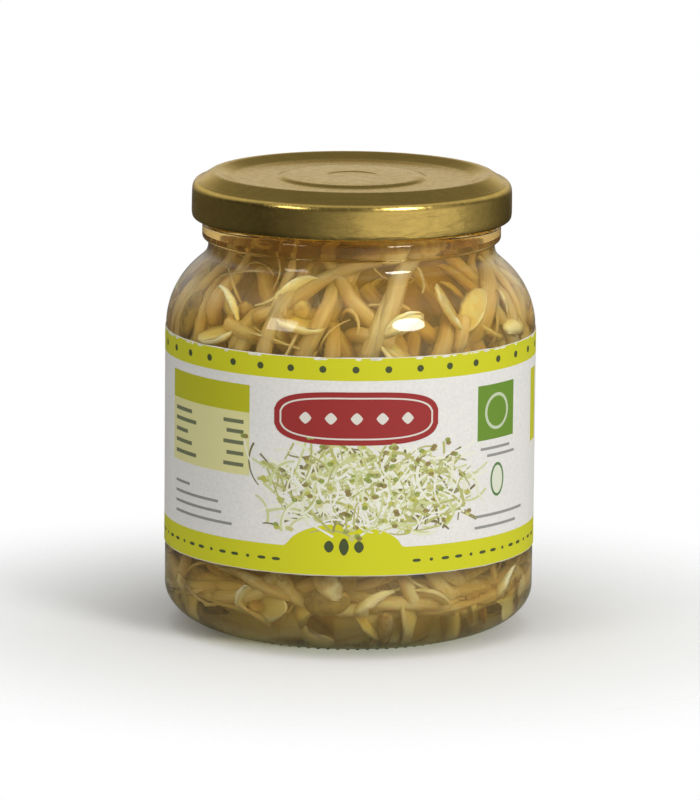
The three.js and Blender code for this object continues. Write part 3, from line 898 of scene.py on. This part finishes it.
def paths_object(sprouts):
    """A mesh of path edges that carries each sprout's thickness and shade, the shade raised near the floor as
    painted light.
    """
    draw = random.Random(7)
    verts, edges, thick, shade = [], [], [], []
    for sprout in sprouts:
        stem, root_out, tone = sprout.stem, sprout.root_out, draw.uniform(-0.1, 0.32)
        for i, (spot, _) in enumerate(sprout.nodes):
            if i:
                edges.append((len(verts) - 1, len(verts)))
            verts.append(spot)
            taper = (STEM_STEPS - i) / 3 if root_out and i > STEM_STEPS - 3 else 1
            tip = min(0.4, stem * 0.5)
            thick.append((tip + (stem - tip) * taper) * (0.78 + 0.22 * (i / STEM_STEPS) ** 0.6) * MM)
            # Stems below 20 mm carry a higher shade: painted light that makes the dim bottom of the jar
            # lighter.
            shade.append(tone + (0.45 if spot.z < 20 else 0.06))
    mesh = bpy.data.meshes.new("paths")
    mesh.from_pydata([v * MM for v in verts], edges, [])
    kept_on(mesh, "thick", thick)
    kept_on(mesh, "shade", shade)
    return link("paths", mesh)


def heads_object(sprouts):
    """A mesh of points, two for each head, that carries the turn and size of each bean half."""
    draw = random.Random(11)
    spots, turns, scales, shade = [], [], [], []
    for sprout in sprouts:
        if sprout.root_out:
            continue
        (before, _), (end, out) = sprout.nodes[-2:]
        along = Matrix.Rotation(sprout.hook, 3, out) @ (end - before).normalized()
        flat = Matrix.Rotation(sprout.twist, 3, along) @ out
        side = flat.cross(along).normalized()
        basis = Matrix((along, side, along.cross(side))).transposed().to_4x4()
        spread = COTYLEDON_SPREAD * (1 + 1.8 * abs(math.sin(sprout.twist)) * draw.uniform(0.5, 1))
        size, tone = sprout.grown * draw.uniform(0.85, 1.04), draw.uniform(-0.15, 0.3) + 0.6 * sprout.unfolded
        towards = math.copysign(1, side.dot(out))
        for half in (-1, 1):
            aside = towards * COTYLEDON[1] * math.sin(sprout.unfolded)
            push = Matrix.Translation((COTYLEDON[0] * 0.75, aside, half * COTYLEDON[2] * 0.85))
            opened = Matrix.Rotation(towards * half * sprout.unfolded, 4, "X")
            pose = basis @ Matrix.Rotation(-half * spread, 4, "Y") @ opened @ push
            if half < 0:
                pose = pose @ Matrix.Rotation(math.pi, 4, "X")
            spots.append((end - out * 0.5 + pose.translation) * MM)
            turns.extend(pose.to_euler())
            scales.append(size)
            shade.append(tone + draw.uniform(-0.05, 0.05))
    mesh = bpy.data.meshes.new("heads")
    mesh.from_pydata(spots, [], [])
    kept_on(mesh, "turn", turns, "FLOAT_VECTOR", "vector")
    kept_on(mesh, "size", scales)
    kept_on(mesh, "shade", shade)
    return link("heads", mesh)


class JAR_OT_sprouts(bpy.types.Operator):
    """Pack the sprouts into the jar: their stems and the bean halves at their heads"""
    bl_idname = "sprout_jar.sprouts"
    bl_label = "Bean sprouts"

    def execute(self, context):
        placed, heads = placed_sprouts(), open_heads()
        sprouts = placed + cleared(more_sprouts(placed), heads) + heads
        stem, bean = tuple(colours().stem), tuple(colours().bean)
        stem_flesh = flesh("stem_flesh", stem, shaded(stem, 0.78), (0.98, 0.88, 0.64), 0.4, 110.0, True)
        bean_flesh = flesh("bean_flesh", bean, (0.42, 0.24, 0.07), (1, 0.93, 0.66), 0.2, 260.0)
        stems = grown("sprout_stems", paths_object(sprouts), stem_tree(),
                      {"Thickness": sizes().stem_scale, "Flesh": stem_flesh})
        half = link("bean_half", bean_half(), bean_flesh)
        beans = grown("sprout_beans", heads_object(sprouts), bean_tree(),
                      {"Bean half": half, "Size": sizes().bean_scale, "Flesh": bean_flesh})
        bpy.data.objects.remove(half)
        radius, neck = BODY_RADIUS - WALL - MIDDLE_INSET, MOUTH_RADIUS - MIDDLE_INSET + 3
        low, top = 10.5, 89
        line = [(0, low), (radius * 0.82, low), (radius, 17), (radius, 66), (neck, 82), (neck, 88), (0, top)]
        line = [tuple(Vector(a).lerp(Vector(b), i / 8)) for a, b in zip(line, line[1:]) for i in range(8)]

        def lumps(a, r, z):
            return min(r, 2.2 * noise.noise(at_turn(a, r, z) * 0.16)) if r > 2 else 0

        # The lumpy middle stands for sprouts packed deep inside; its colour, darker than the stems', is
        # painted shade.
        middle_painted_shade = flesh("middle_flesh_painted_shade", (0.56, 0.40, 0.18), (0.38, 0.24, 0.09), (0.64, 0.47, 0.23), 0.2, 150.0)
        middle = link("sprout_middle", turned("sprout_middle", [*line, (0, top)], 96, lumps), middle_painted_shade)
        pressed(stems)
        pressed(beans)
        for piece in (stems, beans, middle):
            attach(piece, "jar")
            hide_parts("sprouts")
        return {"FINISHED"}


def coat_rings(shrink):
    """Rings of points over half a seed coat, from its top down to its rim."""
    rings = []
    for i in range(9):
        t = (0.03 + 0.47 * i / 8) * math.pi
        ring = [Vector((math.sin(t) * math.cos(p) * (COAT[0] - shrink),
                        math.sin(t) * math.sin(p) * (COAT[1] - shrink),
                        math.cos(t) * (COAT[2] - shrink))) for p in circle(28)]
        for spot in ring:
            spot.z += 0.35 * noise.noise(spot * 0.5) * math.sin(t)
        rings.append(ring)
    return rings


class JAR_OT_seed_coats(bpy.types.Operator):
    """Lay the loose seed coats against the glass"""
    bl_idname = "sprout_jar.seed_coats"
    bl_label = "Seed coats"

    def execute(self, context):
        skin = flesh("seed_coat_skin", tuple(colours().hull), (0.16, 0.09, 0.02), (0.60, 0.43, 0.12), 0.3,
                     320.0)
        shape = coat_rings(0.0) + coat_rings(0.5)[::-1]
        for node, (turn, run, spin) in COATS.items():
            spot, out, _ = behind_glass(run, math.radians(turn), 0.35 + COAT[2] + 0.5)
            along = Matrix.Rotation(math.radians(spin), 3, out) @ Vector((0, 0, 1)).cross(out).normalized()
            basis = Matrix((along, out.cross(along), out)).transposed()
            rings = [[spot + basis @ local for local in ring] for ring in shape]
            piece = link(node + "_skin", lofted(node + "_skin", rings, flipped=True), skin)
            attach(piece, "jar")
            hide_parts(node)
        return {"FINISHED"}


# The lid

def lug_block():
    """One lug: the rolled foot pressed inwards, with rounded ends."""
    low, high, outer = 90.5, 91.7, LID_RADIUS - 0.7
    rings = []
    for i in range(9):
        along = i / 8
        angle = math.radians(6 + 17 * along)
        inner = LID_RADIUS - 2 - 1.2 * max(0, math.sin(math.pi * along)) ** 0.5
        corners = (inner, low), (outer, low), (outer, high), (inner, high)
        rings.append([at_turn(angle, r, z) for r, z in corners])
    return lofted("lug", rings, flipped=True)


class JAR_OT_lid(bpy.types.Operator):
    """Press the gold lid, with its button, crest, rolled foot and lugs"""
    bl_idname = "sprout_jar.lid"
    bl_label = "Twist-off lid"

    def execute(self, context):
        panel, button, wall = LID_PANEL_TOP, LID_PANEL_TOP + 0.5, LID_RADIUS
        top = [(0, button - 0.15), (5.2, button - 0.15), (5.8, button), (BUTTON_RADIUS - 0.6, button),
               (BUTTON_RADIUS + 0.6, panel), (LID_PANEL_RADIUS - 1.6, panel), (LID_PANEL_RADIUS, panel + 0.1),
               (LID_CREST - 0.9, LID_TOP), (LID_CREST + 0.5, LID_TOP), (wall - 1.6, LID_TOP - 1.75),
               (wall - 0.75, LID_TOP - 2.0), (wall - 0.1, LID_TOP - 3.0), (wall, LID_TOP - 4.6),
               (wall, LID_BOTTOM + 1.4), (wall - 0.25, LID_BOTTOM + 0.3), (wall - 1.2, LID_BOTTOM),
               (wall - 1.9, LID_BOTTOM + 0.4)]
        inside = wall - LID_SHEET
        under = [(wall - 1.9, LID_BOTTOM + 1.2), (inside, LID_BOTTOM + 2), (inside, LID_TOP - 4.6),
                 (inside - 0.2, LID_TOP - 3.3), (wall - 1.3, LID_TOP - 2.6), (wall - 2, LID_TOP - 2.25),
                 (LID_CREST + 0.3, LID_TOP - LID_SHEET), (LID_CREST - 0.6, LID_TOP - LID_SHEET),
                 (LID_PANEL_RADIUS + 0.1, panel - LID_SHEET), (BUTTON_RADIUS + 0.4, panel - LID_SHEET),
                 (BUTTON_RADIUS - 0.8, button - LID_SHEET), (0, button - LID_SHEET)]

        def dents(a, r, z):
            if r < LID_CREST + 1:
                return 0
            return 0.07 * noise.noise(at_turn(a, 5.5, z * 0.22))

        gold = gold_finish()
        profile = list(reversed(rounded(top, 0.75, 4) + rounded(under, 0.5, 2)))
        shell = turned("lid_gold", profile, sizes().round_steps, dents)
        lugs = grown("lugs", link("lug", lug_block()), around_tree(), {"Finish": gold})
        joined = fused(link("lid_gold", shell, gold), lugs)
        piece = link("lid_gold", joined, gold)
        joined.polygons.foreach_set("use_smooth", [True] * len(joined.polygons))
        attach(piece, "lid")
        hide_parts("lid")
        return {"FINISHED"}


class JAR_OT_seal(bpy.types.Operator):
    """Finish the sealing ring in the lid's channel"""
    bl_idname = "sprout_jar.seal"
    bl_label = "Sealing ring"

    def execute(self, context):
        low, high = RIM_TOP + 0.25, LID_TOP - LID_SHEET - 0.25
        inner, outer = MOUTH_RADIUS + 0.2, FINISH_RADIUS + 0.5
        section = [(inner, low), (outer, low), (outer - 1.2, high), (inner + 1, high), (inner, low)]
        ring = turned("sealing_ring_soft", rounded(section, 0.25)[:-1], sizes().round_steps)
        piece = link("sealing_ring_soft", ring, plain_finish("soft_seal", (0.70, 0.66, 0.55), 0.55, 900.0))
        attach(piece, "lid")
        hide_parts("sealing_ring")
        return {"FINISHED"}


# The label

def lapped(degrees):
    """How far the label's outer end stands out, so many degrees from its inner end."""
    start, over, lift = 346, 12, 0.2
    rise = max(0, min(1, (degrees - start) / over))
    return lift * rise * rise * (3 - 2 * rise)


def on_label(u, v, r):
    """A place on the label: u round from the front, v up from its foot, at a radius; it follows the lap."""
    a = u / BODY_RADIUS
    degrees = math.degrees(a - LABEL_START - math.pi / 2) % 360
    r += lapped(degrees + 360 if degrees < LABEL_LAP else degrees)
    return from_front(a, r, LABEL_BOTTOM + v)


class JAR_OT_label(bpy.types.Operator):
    """Wrap the paper label round the glass, its ends lapped at the back"""
    bl_idname = "sprout_jar.label"
    bl_label = "Label paper"

    def execute(self, context):
        steps, rows = 200, 12
        rings = []
        for i in range(steps + 1):
            share = i / steps
            a = LABEL_START + math.pi / 2 + share * (2 * math.pi + math.radians(LABEL_LAP))
            lift = lapped(share * (360 + LABEL_LAP))
            heights = [LABEL_BOTTOM + (LABEL_TOP - LABEL_BOTTOM) * j / rows for j in range(rows + 1)]
            for j in (0, rows):
                heights[j] += 0.12 * noise.noise(Vector((a * 9, j, 0.3)))
            outer = [from_front(a, LABEL_OUTER + lift, z) for z in heights]
            inner = [from_front(a, LABEL_INNER + lift, z) for z in heights]
            rings.append(outer + inner[::-1])
        mesh = lofted("label_paper", rings, flipped=True)
        piece = link("label_paper", mesh, plain_finish("label_paper", tuple(colours().paper), 0.62, 1400.0))
        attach(piece, "jar")
        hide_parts("label")
        return {"FINISHED"}


class Press:
    """Gathers printed shapes as thin closed slabs on the label, each in its colour."""

    def __init__(self):
        self.verts, self.faces, self.inks, self.smooth = [], [], [], []

    def slab(self, flat, ink, layer):
        """A slab over a strip, given as pairs of points, the lower one first."""
        low = LABEL_OUTER + 0.002
        high = LABEL_OUTER + 0.008 + 0.009 * layer
        base, count = len(self.verts), len(flat)
        self.verts += [on_label(u, v, high) for u, v in flat] + [on_label(u, v, low) for u, v in flat]
        used = {}
        for i in range(2, count, 2):
            quad = (i - 2, i, i + 1, i - 1)
            self.faces.append(tuple(base + k for k in quad))
            self.faces.append(tuple(base + count + k for k in reversed(quad)))
            self.smooth += [True, False]
            for a, b in zip(quad, quad[1:] + quad[:1]):
                used[(a, b)] = True
        for a, b in used:
            if (b, a) not in used:
                self.faces.append((base + b, base + a, base + count + a, base + count + b))
                self.smooth.append(False)
        self.inks += [(*ink, 1)] * (2 * count)

    def field(self, u0, u1, low, high, ink, layer, step=1.3):
        """An area between two heights, the upper one a number or a curve v = high(u)."""
        count = max(2, math.ceil((u1 - u0) / step))
        flat = []
        for i in range(count + 1):
            u = u0 + (u1 - u0) * i / count
            flat += [(u, low), (u, high(u) if callable(high) else high)]
        self.slab(flat, ink, layer)

    def oval(self, u, v, width, height, ink, layer, power=2.0, steps=24):
        """An oval or, with a higher power, a rounded plaque."""
        flat = []
        for i in range(steps + 1):
            x = -math.cos(math.pi * i / steps)
            y = max(0.02, (1 - abs(x) ** power)) ** (1 / power)
            flat += [(u + x * width / 2, v - y * height / 2), (u + x * width / 2, v + y * height / 2)]
        self.slab(flat, ink, layer)

    def stroke(self, path, widths, ink, layer):
        """A line along a path with a width at each point."""
        flat = []
        for i, (u, v) in enumerate(path):
            (u0, v0), (u1, v1) = path[max(i - 1, 0)], path[min(i + 1, len(path) - 1)]
            along = Vector((u1 - u0, v1 - v0)).normalized()
            across = Vector((along.y, -along.x)) * widths[i] / 2
            flat += [(u + across.x, v + across.y), (u - across.x, v - across.y)]
        self.slab(flat, ink, layer)

    def print(self, name):
        mesh = solid(name, self.verts, self.faces)
        mesh.polygons.foreach_set("use_smooth", self.smooth)
        mesh.set_sharp_from_angle(angle=0.6)
        kept_on(mesh, "ink", [value for ink in self.inks for value in ink], "FLOAT_COLOR", "color")
        return link(name, mesh, ink_finish())


class JAR_OT_print(bpy.types.Operator):
    """Print the label: lime bands, a plain plaque, side panels and a spray of sprouts"""
    bl_idname = "sprout_jar.print"
    bl_label = "Label print"

    def execute(self, context):
        press = Press()
        self.bands(press)
        self.panels(press)
        self.spray(press)
        self.plaque(press)
        piece = press.print("label_print")
        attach(piece, "jar")
        return {"FINISHED"}

    def bands(self, press):
        """A band along each edge all round, the lower one with a hill at the front, dots and dashes."""
        lime, dark = tuple(colours().lime), (0.07, 0.09, 0.03)
        around = math.pi * BODY_RADIUS
        top = LABEL_TOP - LABEL_BOTTOM
        step, gap = 0.8, 0.0001
        edge = math.radians(LABEL_LAP) + LABEL_START - 1.5 * math.pi
        rounds = ((-around, (edge - gap) * BODY_RADIUS), ((edge + gap) * BODY_RADIUS, around))
        middle, reach = -1, 12.5

        def hill(u):
            return 6.2 + 5.2 * max(0, 1 - ((u - middle) / reach) ** 2) ** 0.6

        for u0, u1 in rounds:
            press.field(u0, u1, top - 5.0, top - 0.15, lime, 0, step)
        draw = random.Random(3)
        for _ in range(80):
            press.oval(draw.uniform(-around, around), top - 0.4, draw.uniform(0.5, 2.4),
                       draw.uniform(0.2, 0.5), (0.80, 0.78, 0.735), 1, 2, 8)
        for u0, u1 in rounds:
            press.field(u0, u1, 0.15, hill, lime, 0, step)
        for k in range(36):
            press.oval(around * (k / 18 - 1) + 1.2, top - 2.6, 1.5, 1.5, dark, 1, 2, 12)
        for k in range(74):
            u = around * (k / 37 - 1) + 1.2
            if abs(u - middle) > reach:
                press.oval(u, 3.1, 1.9 if k % 3 else 0.8, 0.7, dark, 1, 2.5, 10)
        for u, tall in ((-4.2, 2.6), (middle, 3.8), (2.2, 2.6)):
            press.oval(u, 6.4, 2.1, tall, dark, 1, 1.7, 14)

    def panels(self, press):
        """A ruled panel at the left, grey lines, and at the right a square with a ring and an oval."""
        lime, green, grey = tuple(colours().lime), (0.15, 0.28, 0.03), (0.30, 0.30, 0.27)
        left, right = -49, -22.5
        press.field(left, right, 20.5, 34.2, (0.74, 0.70, 0.33), 0)
        press.field(left, right, 34.2, 40.2, shaded(lime, 0.8), 0)
        for k, v in enumerate((22.6, 25.0, 27.4, 29.8, 32.0)):
            for u0, u1 in ((-47.5, -38.5 - 1.7 * (k % 3)), (-29.5 + 0.9 * (k % 2), -24)):
                press.field(u0, u1, v - 0.42, v + 0.42, (0.17, 0.19, 0.10), 1)
        for u0, u1, v in ((-47.5, -41, 16), (-47.5, -31, 13.8), (-47.5, -30, 11.6), (-47.5, -27, 9.4),
                          (29.5, 44, 8.6), (29.5, 47, 11), (31, 41, 25.6), (33, 43, 24)):
            press.field(u0, u1, v - 0.3, v + 0.3, grey, 1)
        press.field(53, 58, 24, 40, shaded(lime, 0.95), 0)
        press.field(30, 42.5, 27.5, 39.5, green, 0)
        press.oval(36.2, 33.5, 8.0, 8.0, (0.55, 0.62, 0.42), 1)
        press.oval(36.2, 33.5, 6.6, 6.6, green, 2)
        press.oval(36.5, 18.5, 4.6, 7.4, (0.10, 0.22, 0.06), 0)
        press.oval(36.5, 18.5, 3.6, 6.2, (0.72, 0.74, 0.60), 1)

    def plaque(self, press):
        """A rounded plaque in the middle, with a pale line inside its edge and a row of diamonds."""
        maroon, pale = tuple(colours().maroon), (0.72, 0.68, 0.60)
        u, v, power, steps = 1.5, 34.2, 3.2, 40
        press.oval(u, v, 36, 11.5, maroon, 5, power, steps)
        press.oval(u, v, 33.5, 9.2, pale, 6, power, steps)
        press.oval(u, v, 32.7, 8.5, maroon, 7, power, steps)
        for k in range(-2, 3):
            press.oval(u + 5.5 * k, v, 2.6, 2.6, pale, 8, 1.3, 12)

    def spray(self, press):
        """Curling young sprouts in greens and creams that fan out from the lower band."""
        draw = random.Random(5)
        stalks = ((0.82, 0.81, 0.72), (0.76, 0.76, 0.56), (0.80, 0.80, 0.66), (0.60, 0.63, 0.30),
                  (0.46, 0.46, 0.16), (0.30, 0.27, 0.10), (0.20, 0.17, 0.07))
        heads = ((0.50, 0.50, 0.10), (0.30, 0.36, 0.08), (0.60, 0.58, 0.24), (0.30, 0.23, 0.08),
                 (0.46, 0.47, 0.16))
        leaves = ((0.66, 0.66, 0.44), (0.58, 0.58, 0.30), (0.44, 0.43, 0.20), (0.30, 0.28, 0.13))
        for _ in range(90):
            press.oval(draw.gauss(5, 9), draw.uniform(12, 25), draw.uniform(2, 5), draw.uniform(0.8, 2.2),
                       draw.choice(leaves), 0, 2, 10)
        for i in range(560):
            u, v = draw.gauss(5, 12), draw.uniform(9, 26)
            angle = math.radians(draw.choice((20, 90, 160)) + draw.uniform(-50, 50))
            curl = draw.uniform(-0.22, 0.22)
            count = draw.randint(6, 11)
            weight = draw.uniform(0.4, 0.85)
            path, widths = [], []
            for k in range(count):
                path.append((u, v))
                widths.append(weight * (0.5 + 0.5 * k / count))
                u += math.cos(angle)
                v += math.sin(angle)
                angle += curl
            if any(high > 29.5 or high < 8.5 or abs(side - 5) > 29 for side, high in path):
                continue
            layer = 1 + i // 160
            press.stroke(path, widths, draw.choice(stalks[3:] if layer == 1 else stalks[:5]), layer)
            if draw.random() < 0.78:
                continue
            u, v = path[-1]
            for at in (angle - 0.5, angle + 0.5):
                press.oval(u + 0.7 * math.cos(at), v + 0.7 * math.sin(at), 1.3, 1.0, draw.choice(heads),
                           layer + 1, 2, 8)


# The stage

class JAR_OT_stage(bpy.types.Operator):
    """Set the pale floor, the soft lights and the camera"""
    bl_idname = "sprout_jar.stage"
    bl_label = "Stage"

    def execute(self, context):
        disc = [at_turn(angle, 400, 0) for angle in circle(96)]
        floor = link("floor", solid("floor", disc, [tuple(range(96))], False), floor_finish())
        self.light("overhead", (0.0, -0.3, 1.4), (0.8, 0.8), 5.2).visible_glossy = False
        self.light("left_box", (-0.87, -0.83, 0.65), (0.42, 0.34), 2.1)
        self.light("right_box", (0.74, -0.90, 0.72), (0.46, 0.38), 7.6).data.shape = "ELLIPSE"
        context.scene.world = self.studio()
        context.scene.view_settings.view_transform = "Standard"
        own = sizes()
        camera = bpy.data.objects.new("camera", bpy.data.cameras.new("camera"))
        context.scene.collection.objects.link(camera)
        back = Vector((0, -math.cos(own.camera_elevation), math.sin(own.camera_elevation)))
        aim = back.to_track_quat("Z", "Y").to_matrix().to_4x4() @ Matrix.Rotation(own.camera_roll, 4, "Z")
        place = Vector((0, 0, own.camera_height)) + back * own.camera_distance
        camera.matrix_world = Matrix.Translation(place) @ aim
        focal_pixels, picture_pixels, sensor = 7002, 800, 36
        camera.data.lens = focal_pixels / picture_pixels * sensor
        camera.data.sensor_width = sensor
        camera.data.clip_start = 0.05
        camera.data.clip_end = 30
        context.scene.camera = camera
        return {"FINISHED"}

    def studio(self):
        """White for the camera, warm behind the glass, and for all else grey walls round the jar."""
        world = bpy.data.worlds.new("studio")
        world.use_nodes = True
        tree = world.node_tree
        tree.nodes.clear()
        place = plant(tree, "ShaderNodeTexCoord").outputs["Generated"]
        front = self.wall(tree, place, (0.35, -0.35, 0),
                          (0.07, 0.1), (0.35, 0.06), (0.6, 0.16), (0.84, 0.42), (0.9, 0.85), (1, 0.95))
        low = self.wall(tree, place, (0, 0, -0.5),
                        (0.1, 0.35), (0.42, 0.42), (0.53, 1), (0.66, 0.9), (0.8, 0.4))
        above = self.wall(tree, place, (0, 0.23, 0.46),
                          (0.62, 0), (0.7, 0.3), (0.79, 0.8), (0.84, 0.6), (0.9, 0.24), (1, 0.2))
        walls = blended(tree, 1.0, blended(tree, 1.0, front, low, "MULTIPLY"), above, "LIGHTEN")
        path = plant(tree, "ShaderNodeLightPath").outputs
        seen = blended(tree, path["Is Transmission Ray"], walls, (0.85, 0.74, 0.54, 1))
        grey = plant(tree, "ShaderNodeBackground", {"Color": seen, "Strength": 1.0})
        white = plant(tree, "ShaderNodeBackground", {"Color": WHITE, "Strength": 1.0})
        plant(tree, "ShaderNodeOutputWorld", {"Surface": mixed(tree, path["Is Camera Ray"], grey, white)})
        return world

    def wall(self, tree, place, towards, *greys):
        """A grey of the studio round the jar, graded in one direction."""
        level = plant(tree, "ShaderNodeVectorMath", {0: place, 1: towards}, operation="DOT_PRODUCT")
        return grey_ramp(tree, maths(tree, "ADD", level.outputs["Value"], 0.5), *greys)

    def light(self, name, place, size, power):
        lamp = bpy.data.lights.new(name, "AREA")
        lamp.shape = "RECTANGLE"
        lamp.size, lamp.size_y = size
        lamp.energy = power
        made = bpy.data.objects.new(name, lamp)
        bpy.context.scene.collection.objects.link(made)
        made.location = place
        made.rotation_euler = (Vector(place) - Vector((0, 0, 0.05))).to_track_quat("Z", "Y").to_euler()
        return made


STEPS = (JAR_OT_glass, JAR_OT_lid, JAR_OT_seal, JAR_OT_label, JAR_OT_print, JAR_OT_sprouts, JAR_OT_seed_coats,
         JAR_OT_brine, JAR_OT_stage)


class JAR_PT_panel(bpy.types.Panel):
    """Sizes, colours and the steps that make the jar"""
    bl_label = "Sprout Jar"
    bl_idname = "JAR_PT_panel"
    bl_space_type = "VIEW_3D"
    bl_region_type = "UI"
    bl_category = "Sprout Jar"

    def draw(self, context):
        for group in (context.scene.jar_sizes, context.scene.jar_colours):
            for key in group.bl_rna.properties.keys():
                if key not in {"rna_type", "name"}:
                    self.layout.prop(group, key)
        for step in STEPS:
            self.layout.operator(step.bl_idname)


CLASSES = (JarSizes, JarColours, *STEPS, JAR_PT_panel)


def register():
    for kind in CLASSES:
        bpy.utils.register_class(kind)
    bpy.types.Scene.jar_sizes = bpy.props.PointerProperty(type=JarSizes)
    bpy.types.Scene.jar_colours = bpy.props.PointerProperty(type=JarColours)


def unregister():
    del bpy.types.Scene.jar_colours
    del bpy.types.Scene.jar_sizes
    for kind in reversed(CLASSES):
        bpy.utils.unregister_class(kind)


def main():
    register()
    for step in STEPS:
        getattr(bpy.ops.sprout_jar, step.bl_idname.split(".")[1])()


if __name__ == "__main__":
    main()
